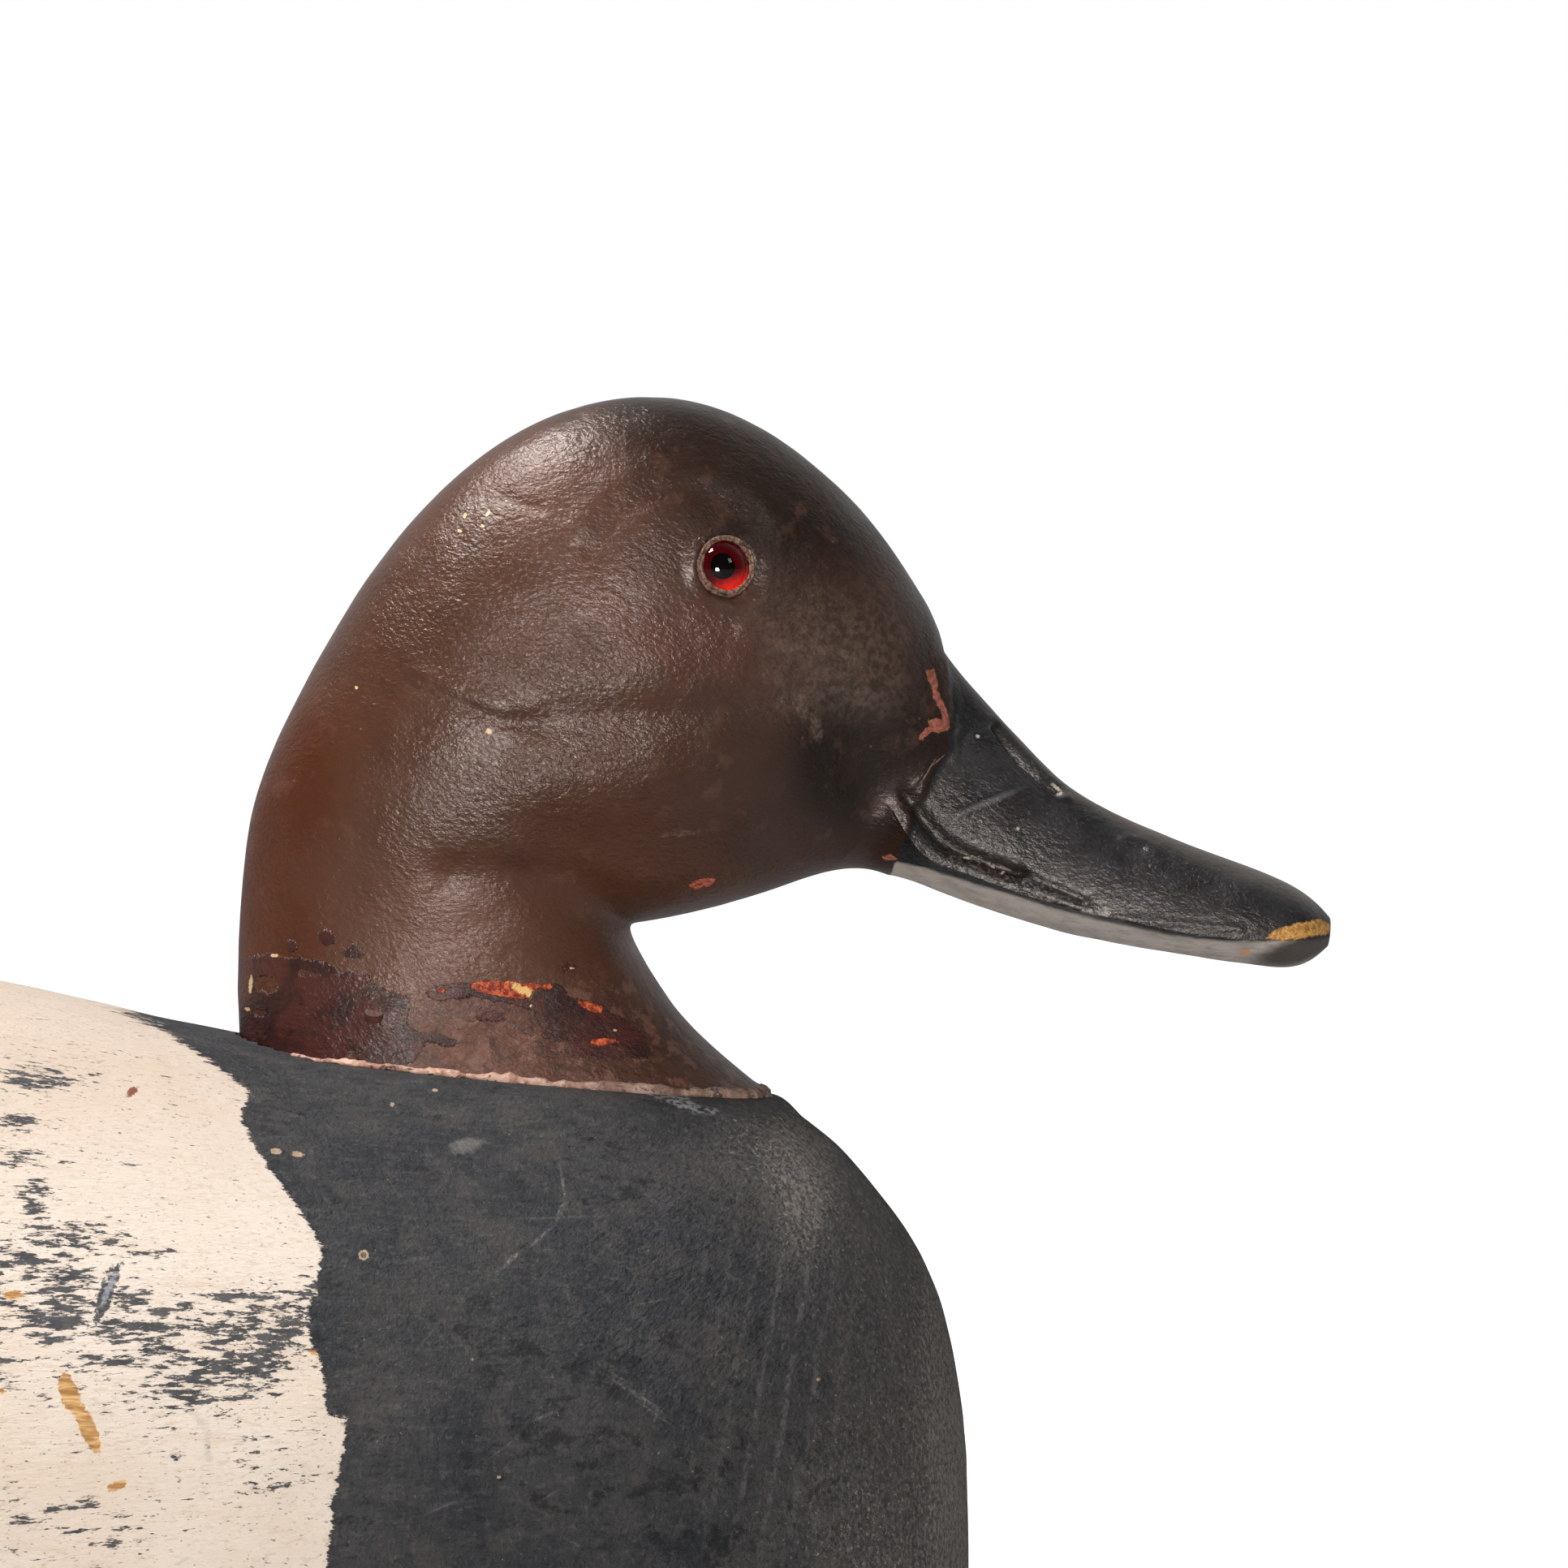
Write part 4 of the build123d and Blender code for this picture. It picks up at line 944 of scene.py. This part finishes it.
# Places where the charcoal is almost black, given in the same way.
DEEP = [
    (127.3, 105.5, 3.0, 4.0), (119.5, 86.4, 9.0, 3.0), (119.0, 77.6, 11.0, 3.5), (137.0, 85.0, 6.0, 10.0),
    (104.0, 104.0, 9.0, 5.0), (112.0, 128.0, 9.0, 3.0), (100.0, 92.0, 12.0, 3.0), (88.0, 106.0, 7.0, 4.0),
    (76.0, 62.0, 16.0, 5.0), (120.0, 50.0, 18.0, 6.0),
]


def mesh_points(mesh):
    """The mesh's points in millimetres."""
    points = np.empty(len(mesh.vertices) * 3, np.float32)
    mesh.vertices.foreach_get("co", points)
    return points.reshape(-1, 3).astype(float) / MM


def paint_hull(mesh):
    """Fields that place the hull's paint: how far inside the white a point is, how worn, and how much dust and
    painted sheen it gets.
    """
    points = mesh_points(mesh)
    x, y, z = points.T
    other_side = smooth(y, 5, 25)
    front = -side_of(x + other_side * 2.5 * noise(points, 17, 71, 2), z, WHITE_EDGE)
    rear = x + 150 + 10 * mound(z, 90, 30) + 3 * noise(points, 19, 73, 2)
    set_field(mesh, "white", np.clip(np.minimum(front, rear), -30, 30))
    shift = other_side * 11.0
    worn = np.max([hill(x + shift, z + shift / 3, place, WORN_SPREAD) for place in WORN], axis=0)
    worn *= 1 - 0.75 * smooth(x, 14, 2) * smooth(noise(points, (13, 12, 5), 43, 3), 0.25, -0.2)
    worn = 0.78 * worn + 0.16 * noise(points, (50, 24, 16), 41, 3) + 0.2 * mound(z, 114, 20) + 0.05
    clean = hill(x, z, (47, 126, 10, 9))
    set_field(mesh, "worn", worn - 0.5 * clean + 0.25 * smooth(z, 60, 30))
    flecks = hill(x - 136.5 - 0.12 * (z - 126), z, (0, 125, 5, 9))
    breast = smooth(x, 84, 122) * smooth(z, 24, 50)
    edge = smooth(x, 118, 160)
    shoulder = hill(x, z, (132, 133, 13, 6))
    # pale dust on the flecks and the front, a painted reflection along the very rim, and a painted sheen on the
    # shoulder
    dust_and_sheen = 0.9 * flecks + 0.7 * edge + 0.9 * smooth(x, 152, 162.5) + 0.7 * shoulder
    dust_and_sheen = dust_and_sheen + 0.35 * np.clip(noise(points, 26, 47, 3), 0, 1) - 0.1
    set_field(mesh, "dust_and_sheen", np.clip(dust_and_sheen, 0, 1.8))
    set_field(mesh, "breast", breast * (0.35 + 0.65 * smooth(z, 75, 110)))
    rasp = mound(x - 133 - 0.19 * (z - 100), 0, 12) * smooth(z, 66, 84) * smooth(z, 137, 126)
    set_field(mesh, "rasp", rasp)
    set_field(mesh, "deep", np.max([hill(x, z, place) for place in DEEP], axis=0))


MAROON = [
    [
        (50.0, 159.7), (55.2, 161.1), (59.0, 160.7), (63.7, 160.4), (66.9, 158.9), (71.0, 158.7),
        (71.6, 157.1), (74.8, 156.0), (77.3, 154.5), (77.1, 151.3), (78.4, 150.2), (81.6, 149.8),
        (84.8, 148.5), (83.8, 147.7), (79.5, 148.6), (78.0, 145.0), (70.2, 144.6), (68.3, 147.8),
        (67.2, 144.4), (60.5, 144.5), (56.7, 145.9), (50.0, 146.8),
    ],
    [
        (79.6, 156.1), (82.8, 157.2), (87.1, 157.2), (90.3, 155.8), (95.6, 155.2), (99.4, 157.0),
        (101.9, 155.1), (106.5, 152.7), (110.3, 151.6), (113.6, 148.8), (114.6, 145.7), (108.5, 145.4),
        (102.0, 146.4), (102.3, 149.3), (102.5, 150.8), (100.9, 148.0), (97.6, 149.4), (96.1, 153.0),
        (92.4, 154.5), (87.1, 155.2), (80.7, 154.6),
    ],
]
# Round places, as middle, half length and half height: maroon ones in the brown, and brown ones in the maroon.
MAROON_SPOTS = [
    (59.5, 162.6, 0.9, 0.9), (65.1, 164.1, 1.3, 1.1), (68.8, 161.7, 1.5, 1.1), (56.3, 160.6, 1.6, 0.7),
    (89.4, 152.3, 1.6, 0.6), (101.7, 159.5, 1.2, 0.5),
]
BROWN_SPOTS = [(62.1, 158.4, 1.2, 0.7), (55.8, 156.8, 1.9, 1.4), (54.9, 152.0, 1.2, 0.5)]
CHIPS = [
    [
        (86.4, 157.3), (89.2, 157.8), (92.4, 157.6), (95.6, 157.3), (99.4, 157.1), (99.1, 156.4),
        (96.1, 156.3), (95.4, 154.9), (93.5, 154.8), (90.3, 155.6), (87.1, 155.9),
    ],
    [(81.2, 156.4), (83.1, 156.8), (83.0, 156.0), (81.6, 155.8)],
    [(102.6, 155.0), (104.9, 154.2), (107.0, 153.6), (106.8, 152.4), (104.9, 152.8), (103.2, 153.6)],
    [(103.5, 148.6), (108.1, 148.8), (109.5, 148.2), (106.0, 147.6)],
    [(119.7, 171.8), (121.8, 172.7), (124.6, 172.7), (124.2, 171.7), (121.1, 170.9)],
    [(150.2, 175.6), (151.6, 176.0), (152.6, 175.3), (151.0, 174.8)],
    [
        (156.8, 204.3), (158.3, 204.5), (158.7, 202.6), (158.5, 201.3), (159.5, 199.5), (160.6, 196.7),
        (160.6, 195.3), (159.0, 194.6), (157.6, 195.0), (156.0, 193.6), (155.4, 194.0), (155.8, 194.8),
        (157.2, 195.9), (157.0, 196.8), (158.4, 197.0), (159.5, 196.5), (159.1, 198.4), (157.9, 200.4),
        (157.4, 202.4),
    ],
]
UNDER_EDGE = [
    (146.0, 175.2), (151.9, 174.9), (157.2, 173.8), (162.9, 171.9), (169.7, 169.9), (176.8, 167.6),
    (183.0, 166.0), (187.5, 165.0), (194.1, 163.6), (201.6, 162.7), (208.0, 162.6), (222.0, 162.6),
]
TIP = [
    (209.0, 163.0), (210.3, 164.3), (214.3, 165.3), (218.0, 165.7), (219.6, 165.0), (221.5, 163.4),
    (217.9, 163.3), (212.8, 162.8),
]


# Places where the brown is laid on thick: how much of it, then the place as above.
THICK = [
    (1.0, (99, 206, 13, 8)), (0.7, (104, 190, 13, 7)), (0.7, (138, 198, 5, 8)), (0.4, (97, 232, 9, 6)),
]
# The ridge of the bill, the upper outline of the head from its step to its nail.
CREST = [outer for _, outer, *_ in HEAD[12:19]]


def paint_head(mesh):
    """Fields that place the head's paint. Those of patches are signed distances, negative inside a patch."""
    points = mesh_points(mesh)
    x, y, z = points.T
    face = smooth(x + 0.25 * (z - 200), 104, 152)
    front = smooth(x, 92, 128) * smooth(z, 218, 236)
    nape = smooth(x - 0.10 * (z - 165), 58, 72) + smooth(z, 190, 212)
    low_neck = smooth(z, 176, 164) * smooth(x, 108, 92)
    # the hollow between cheek and bill, where shade is painted: darker tone and colour there, and rougher paint
    hollow = hill(x, z, (146, 190, 9, 9))
    tone = 0.36 * np.clip(nape, 0, 1) + 0.05 + 0.4 * face + 0.65 * front + 0.55 * hollow - 0.06 * low_neck
    set_field(mesh, "tone", tone)
    set_field(mesh, "hollow", np.clip(hollow, 0, 1))
    dry = smooth(x, 122, 140) * smooth(z, 194, 202) * (0.1 + 0.9 * smooth(z, 222, 210)) * smooth(x, 158, 150)
    set_field(mesh, "dry", np.clip(dry, 0, 1))
    # where a painted sheen of lighter brown goes: a band up the neck and a patch on the crown; the paint is
    # rougher there too
    neck = mound(x - 84 - 0.2 * (160 - z), 0, 13) * smooth(z, 182, 166)
    set_field(mesh, "neck", neck + 0.5 * hill(x, z, (105, 230, 16, 9)))
    band = smooth(z - 0.06 * (x - 80), 160, 154) * smooth(x, 74, 86)
    set_field(mesh, "band", band + 0.3 * smooth(z, 153, 149))
    set_field(mesh, "thick", sum(share * hill(x, z, place) for share, place in THICK))
    set_field(mesh, "bill", side_of(x, z, BILL_LINE))
    wave = smooth(y, 4, 14)
    xs, zs = x + wave * 4 * noise(points, 15, 61, 2), z + wave * (3 * noise(points, 13, 63, 2) + 1)
    old = np.min([region(xs, zs, outline) for outline in MAROON], axis=0)
    for cx, cz, length, height in MAROON_SPOTS:
        old = np.minimum(old, (np.hypot((xs - cx) / length, (zs - cz) / height) - 1) * height)
    for cx, cz, length, height in BROWN_SPOTS:
        old = np.maximum(old, (1 - np.hypot((xs - cx) / length, (zs - cz) / height)) * height)
    set_field(mesh, "old", np.clip(old, -20, 20))
    chip = np.min([region(xs, zs, outline) for outline in CHIPS], axis=0)
    set_field(mesh, "chip", np.clip(chip, -20, 20))
    set_field(mesh, "gap", line_distance(x, z, GROOVE))
    set_field(mesh, "roll", line_distance(x, z, ROLL))
    edge_x, edge_z = np.array(UNDER_EDGE).T
    set_field(mesh, "under", np.clip(z - np.interp(x, edge_x, edge_z), -20, 20))
    set_field(mesh, "tip", np.clip(region(x, z, TIP), -20, 20))
    crest_x, crest_z = np.array(CREST).T
    set_field(mesh, "crest", np.clip(np.interp(x, crest_x, crest_z) - z, -20, 20))


head_material, hull_material = head_paint(), hull_paint()

head_mesh = tube_mesh("head_carving", carve_head(head_rings(HEAD_ROWS, HEAD_AROUND)))
paint_head(head_mesh)
finish_mesh("head_carving", head_mesh, ROOT_BODY, ["head"], head_material, sharp=65)

hull = carve_hull(hull_rings(HULL_ROWS, HULL_AROUND))
shell_mesh = cut_level(tube_mesh("body_shell_wood", hull), SEAM_HIGH, True)
paint_hull(shell_mesh)
finish_mesh("body_shell_wood", shell_mesh, ROOT_BODY, ["body_shell"], hull_material)

board_mesh = cut_level(tube_mesh("bottom_board_wood", hull), SEAM_LOW, False)
paint_hull(board_mesh)
finish_mesh("bottom_board_wood", board_mesh, ROOT_BODY, ["bottom_board"], hull_material)


# ---------------------------------------------------------------- eyes
def turned_mesh(name, centre, out, profile, offset, steps=64):
    """A solid turned about a line along out, offset level from centre.

    The profile is (radius, height) rows, and the solid is closed at the axis.
    """
    across, up = axes_across(out)
    angle = np.arange(steps) * 2 * math.pi / steps
    profile = np.array(profile, float)
    ring = np.cos(angle)[:, None] * across + np.sin(angle)[:, None] * up
    shift = centre + offset * across
    rings = shift + profile[:, 0, None, None] * ring + profile[:, 1, None, None] * np.asarray(out)
    start, end = shift + profile[0, 1] * out, shift + profile[-1, 1] * out
    return tube_mesh(name, rings, start, end)


def dome(radius, ball, low, count):
    """Profile rows of a dome of the given ball radius, its edge at height low."""
    reach = radius * np.sin(np.linspace(math.pi / 2, 0.04, count))
    return [(r, low + math.sqrt(ball**2 - r**2) - math.sqrt(ball**2 - radius**2)) for r in reach]


def ring_mesh(name, centre, out, radius, seed):
    """The lumpy, cracked ring of putty that beds an eye."""
    across, up = axes_across(out)
    angle = around_once(160)
    ring = np.cos(angle)[:, None] * across + np.sin(angle)[:, None] * up
    uneven = noise(centre + 4.2 * ring, 2.4, seed, 3)
    turn = around_once(18)
    wide, tall = 0.5 + 0.24 * uneven, 0.34 + 0.2 * uneven
    middle = radius + 0.22 * noise(centre + 4.2 * ring, 3.2, seed + 3, 2)
    away = middle[:, None] + wide[:, None] * np.cos(turn)
    height = -0.12 + tall[:, None] * np.sin(turn)
    points = centre + away[..., None] * ring[:, None, :] + height[..., None] * np.asarray(out)
    rough = noise(points, 0.7, seed + 9, 3)
    crease = mound(away - middle[:, None] - 0.15 * uneven[:, None], 0, 0.1) * (height > 0)
    points = points + (0.16 * rough - 0.3 * crease)[..., None] * out
    return loop_mesh(name, points)


def iris_enamel():
    """Red enamel, dark above, with a painted pool of light low down where the glass would gather the lamps'
    light.
    """
    p = Paint("iris_enamel")
    ahead = p.node("SeparateXYZ", {0: p.place})
    slant = p.times(p.math("SUBTRACT", ahead, EYE[0] * MM), 0.32)
    height = p.math("SUBTRACT", p.node("SeparateXYZ", {0: p.place}, out=2), slant)
    uneven = p.times(p.math("SUBTRACT", p.noise(2.5, 2), 0.5), 1.2 * MM)
    # painted light: the lower part of the iris is made bright red
    low = p.step(p.add(height, uneven), (EYE[2] - 0.8) * MM, (EYE[2] - 3.6) * MM)
    mottle = p.step(p.noise(0.6, 3), 0.35, 0.65)
    dark = p.mix(mottle, (0.036, 0.0004, 0.0012), (0.055, 0.0006, 0.0015))
    colour = p.mix(low, dark, p.mix(mottle, (0.38, 0.007, 0.004), (0.5, 0.012, 0.006)))
    return p.surface(Base_Color=colour, Roughness=p.step(mottle, 0.0, 1.0, 0.4, 0.5), Specular_IOR_Level=0.0)


def putty_ring_finish():
    p = Paint("eye_bedding")
    mottle = p.noise(1.1, 5, 0.75)
    colour = p.mix(p.step(mottle, 0.38, 0.6), (0.12, 0.06, 0.038), (0.26, 0.135, 0.085))
    colour = p.mix(p.times(p.step(p.noise(0.45, 4, 0.75), 0.54, 0.64), 0.45), colour, (0.34, 0.21, 0.13))
    cracks = p.step(p.ragged(p.cells(1.1, feature="DISTANCE_TO_EDGE"), 0.12, 0.7), 0.09, 0.03)
    colour = p.mix(p.times(cracks, 0.65), colour, (0.012, 0.007, 0.005))
    normal = p.bump(mottle, 0.35)
    normal = p.bump(cracks, -0.15, normal)
    return p.surface(Base_Color=colour, Roughness=p.step(mottle, 0.3, 0.7, 0.45, 0.6), Normal=normal)


iris_red, bedding = iris_enamel(), putty_ring_finish()
pupil_colours = [(0.001, 0.001, 0.001), (0.002, 0.001, 0.001)]
pupil_black = plain_finish("pupil_enamel", pupil_colours, 1.5, (0.4, 0.5), level=0.0)
glass = clear_glass()
# Each turned piece of an eye: name, slot, node, material, sharp angle, offset ahead, and (radius, height) rows.
EYE_PIECES = [
    ("eye_dome_", "clear_glass", "eye_glass_", glass, 50, 0.0, [(3.75, -0.95), *dome(3.85, 4.8, -0.35, 22)]),
    (
        "eye_iris_disc_", "iris_enamel", "eye_iris_", iris_red, 40, 0.0,
        [(3.7, -1.15), (3.7, -0.86), (2.6, -0.84), (0.2, -0.82)],
    ),
    (
        "eye_pupil_disc_", "pupil_enamel", "eye_pupil_", pupil_black, 40, 0.42,
        [(1.66, -0.84), (1.7, -0.76), (1.6, -0.7), (0.15, -0.64)],
    ),
]
BEDDING_RADIUS = 4.25
for hand, side in (("left", 1), ("right", -1)):
    middle, out = EYE * (1, side, 1), eye_out * (1, side, 1)
    for name, slot, node, material, sharp, ahead, rows in EYE_PIECES:
        piece = outward(turned_mesh(name + hand, middle, out, rows, ahead * side))
        finish_mesh(name + hand, piece, ROOT_BODY, [node + hand], material, sharp)
    piece = ring_mesh("eye_bedding_" + hand, middle, out, BEDDING_RADIUS, 31 + side)
    finish_mesh("eye_bedding_" + hand, piece, ROOT_BODY, ["eye_putty_" + hand], bedding, sharp=70)


# ---------------------------------------------------------------- putty round the foot of the neck
def seam_bead():
    """The lumpy bead of putty in the joint, thin at the back and wide and flat at the front."""
    angle = around_once(560)
    front = (1 + np.cos(angle)) / 2
    across, along = np.sin(angle), np.cos(angle)
    x = seat_middle[0] + seat_reach * along
    y = SEAT_HALF_WIDTH * across
    foot = np.stack([x, y, seat_height(x)], axis=-1)
    away = np.stack([along / seat_reach, across / SEAT_HALF_WIDTH, np.zeros_like(along)], axis=-1)
    away /= np.linalg.norm(away, axis=-1, keepdims=True)
    uneven = noise(foot, 7, 81, 3)
    rough = noise(foot, 2.2, 83, 3)
    wide = 0.5 + 1.4 * front**2.2 + 0.6 * np.clip(uneven, -0.7, 1) + 0.5 * rough
    tall = 0.55 + 1.2 * front**2.2 - 0.9 * front**14 + 0.7 * uneven + 0.6 * rough
    wide, tall = np.clip(wide, 0.25, 3), np.clip(tall, 0.4, 4)
    turn = around_once(20)
    swell = np.sign(np.cos(turn)) * np.abs(np.cos(turn)) ** 0.8
    lean = -0.3 - 0.3 * front - 1.5 * front**14
    outs = lean[:, None] + wide[:, None] * swell
    ups = 0.15 + tall[:, None] * np.sin(turn) * np.where(np.sin(turn) > 0, 1, 0.5)
    points = foot[:, None, :] + outs[..., None] * away[:, None, :]
    points[..., 2] += ups
    points = points + 0.34 * noise(points, 1.0, 85, 3)[..., None] * away[:, None, :]
    points[..., 2] += 0.34 * noise(points, 1.3, 87, 3)
    return loop_mesh("neck_bead", points)


def bead_finish():
    p = Paint("neck_putty_painted")
    mottle, fine = p.noise(3.5, 4, 0.65), p.noise(0.7, 4, 0.7)
    colour = p.mix(p.step(mottle, 0.38, 0.62), (0.36, 0.17, 0.115), (0.58, 0.36, 0.27))
    crumbs = p.times(p.step(fine, 0.5, 0.58), p.step(p.noise(5, 3), 0.4, 0.55))
    colour = p.mix(p.times(crumbs, 0.85), colour, (0.7, 0.5, 0.36))
    gaps = p.step(p.noise(1.5, 5, 0.75, where=p.stretch((0.35, 1, 1.3))), 0.4, 0.35)
    colour = p.mix(gaps, colour, (0.03, 0.016, 0.012))
    body_paint = p.step(p.noise(2.6, 4, 0.7), 0.42, 0.37)
    colour = p.mix(body_paint, colour, (0.05, 0.048, 0.05))
    ahead = p.step(p.node("SeparateXYZ", {0: p.place}), 0.085, 0.118)
    colour = p.mix(p.times(ahead, p.step(mottle, 0.35, 0.6, 0.85, 0.5)), colour, (0.13, 0.08, 0.06))
    normal = p.bump(fine, 0.22)
    normal = p.bump(mottle, 0.3, normal)
    rough = p.step(fine, 0.3, 0.7, 0.5, 0.7)
    return p.surface(Base_Color=colour, Roughness=rough, Normal=normal, Specular_IOR_Level=0.4)


finish_mesh("neck_bead", seam_bead(), ROOT_BODY, ["neck_putty"], bead_finish(), sharp=70)

# ---------------------------------------------------------------- carried-over pieces
WOOD_GRAIN = (0.1, 1, 1)
iron = plain_finish("iron", [(0.12, 0.09, 0.075), (0.2, 0.17, 0.15), (0.16, 0.06, 0.025)], 2, (0.4, 0.65), 0.85)
brass = plain_finish("brass", [(0.3, 0.2, 0.08), (0.45, 0.32, 0.13)], 2, (0.35, 0.5), 0.9)
steel = plain_finish("steel", [(0.25, 0.24, 0.23), (0.35, 0.34, 0.32)], 2, (0.35, 0.5), 0.9)
painted = plain_finish("painted_iron", [(0.05, 0.017, 0.012), (0.085, 0.032, 0.02)], 2, (0.35, 0.45))
weathered = [(0.05, 0.045, 0.04), (0.09, 0.07, 0.055)]
finishes = {
    "seam_caulk": plain_finish("caulk", [(0.03, 0.028, 0.026), (0.09, 0.08, 0.07)], 3, (0.7, 0.9)),
    "keel": plain_finish("keel_wood", weathered, 6, (0.6, 0.8), grain=WOOD_GRAIN),
    "ballast_weight": plain_finish("lead", [(0.12, 0.12, 0.13), (0.2, 0.2, 0.2)], 4, (0.4, 0.6), 0.8),
    "keel_screws": brass,
    "neck_nails": painted,
    "neck_screw": steel,
    "neck_washer": steel,
}
iron_nodes = (
    "board_nails", "ballast_nails", "line_tie_staple", "line_tie_ring", "eye_wire_left", "eye_wire_right",
)
finishes.update(dict.fromkeys(iron_nodes, iron))
for node, material in finishes.items():
    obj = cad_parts[node]
    obj.data.materials.clear()
    obj.data.materials.append(material)

# ---------------------------------------------------------------- floor, light and camera
FLOOR_SIZE = 60
MIRRORED_FLOOR = 0.16  # the glow of the floor as the object's gloss mirrors it; the camera sees it at 1
floor_paint = Paint("floor")
seen, mirrored = floor_paint.node("LightPath", {}), floor_paint.node("LightPath", {}, out="Is Glossy Ray")
floor_grey = floor_paint.mix(floor_paint.noise(900, 2), (0.4, 0.4, 0.4), (0.44, 0.44, 0.44))
floor_paint.surface(
    Base_Color=floor_paint.mix(mirrored, floor_grey, (0.08, 0.08, 0.08)),
    Roughness=0.8,
    Specular_IOR_Level=0.2,
    Emission_Color=(1.0, 1.0, 1.0),
    Emission_Strength=floor_paint.both(seen, floor_paint.times(mirrored, MIRRORED_FLOOR)),
)
bpy.ops.mesh.primitive_grid_add(x_subdivisions=8, y_subdivisions=8, size=FLOOR_SIZE)
floor = bpy.context.object
floor.name = "floor"
floor.data.materials.append(floor_paint.material)

world = bpy.data.worlds.new("studio")
bpy.context.scene.world = world
world.use_nodes = True
sky = world.node_tree
seen = sky.nodes.new("ShaderNodeLightPath").outputs["Is Camera Ray"]
apart = sky.nodes.new("ShaderNodeSeparateXYZ")
sky.links.new(sky.nodes.new("ShaderNodeTexCoord").outputs["Generated"], apart.inputs[0])
wall = sky.nodes.new("ShaderNodeMapRange")
wall.interpolation_type = "SMOOTHSTEP"
for socket, value in (("From Min", -0.2), ("From Max", 0.8), ("To Min", 0.035), ("To Max", 0.45)):
    wall.inputs[socket].default_value = value
sky.links.new(apart.outputs["Y"], wall.inputs["Value"])
brighter = sky.nodes.new("ShaderNodeMath")
brighter.operation = "MAXIMUM"
sky.links.new(seen, brighter.inputs[0])
sky.links.new(wall.outputs[0], brighter.inputs[1])
sky.nodes["Background"].inputs["Color"].default_value = (1, 1, 1, 1)
sky.links.new(brighter.outputs[0], sky.nodes["Background"].inputs["Strength"])


LAMP_TARGET = Vector((0.08, 0, 0.17))  # inside the neck


def lamp(name, heading, distance, size, power):
    """A soft rectangular lamp, distance metres away from the head along heading, turned to face it."""
    light = bpy.data.lights.new(name, "AREA")
    light.shape, light.size, light.size_y, light.energy = "RECTANGLE", size[0], size[1], power
    obj = bpy.data.objects.new(name, light)
    bpy.context.scene.collection.objects.link(obj)
    heading = Vector(heading).normalized()
    obj.location = LAMP_TARGET + heading * distance
    obj.rotation_euler = (-heading).to_track_quat("-Z", "Y").to_euler()


lamp("top_lamp", (-0.36, -0.02, 0.9), 1.6, (0.86, 0.42), 40)
lamp("front_lamp", (-0.09, -1.0, 0.0), 2.0, (0.42, 0.4), 32)
lamp("right_lamp", (0.62, -0.6, 0.5), 1.6, (0.36, 0.36), 1.2)

LENS, SENSOR = 238.5, 36.0
AZIMUTH, ELEVATION, DISTANCE = math.radians(-4), math.radians(2.5), 1.6
AIM = Vector((0.13575, 0, 0.1865))
camera_data = bpy.data.cameras.new("camera")
camera = bpy.data.objects.new("camera", camera_data)
bpy.context.scene.collection.objects.link(camera)
bpy.context.scene.camera = camera
camera_data.lens, camera_data.sensor_width = LENS, SENSOR
camera_data.clip_end = 100
level = math.cos(ELEVATION)
look = Vector((-math.sin(AZIMUTH) * level, math.cos(AZIMUTH) * level, -math.sin(ELEVATION)))
camera.location = AIM - look * DISTANCE
camera.rotation_euler = look.to_track_quat("-Z", "Y").to_euler()
bpy.context.scene.view_settings.view_transform = "Standard"
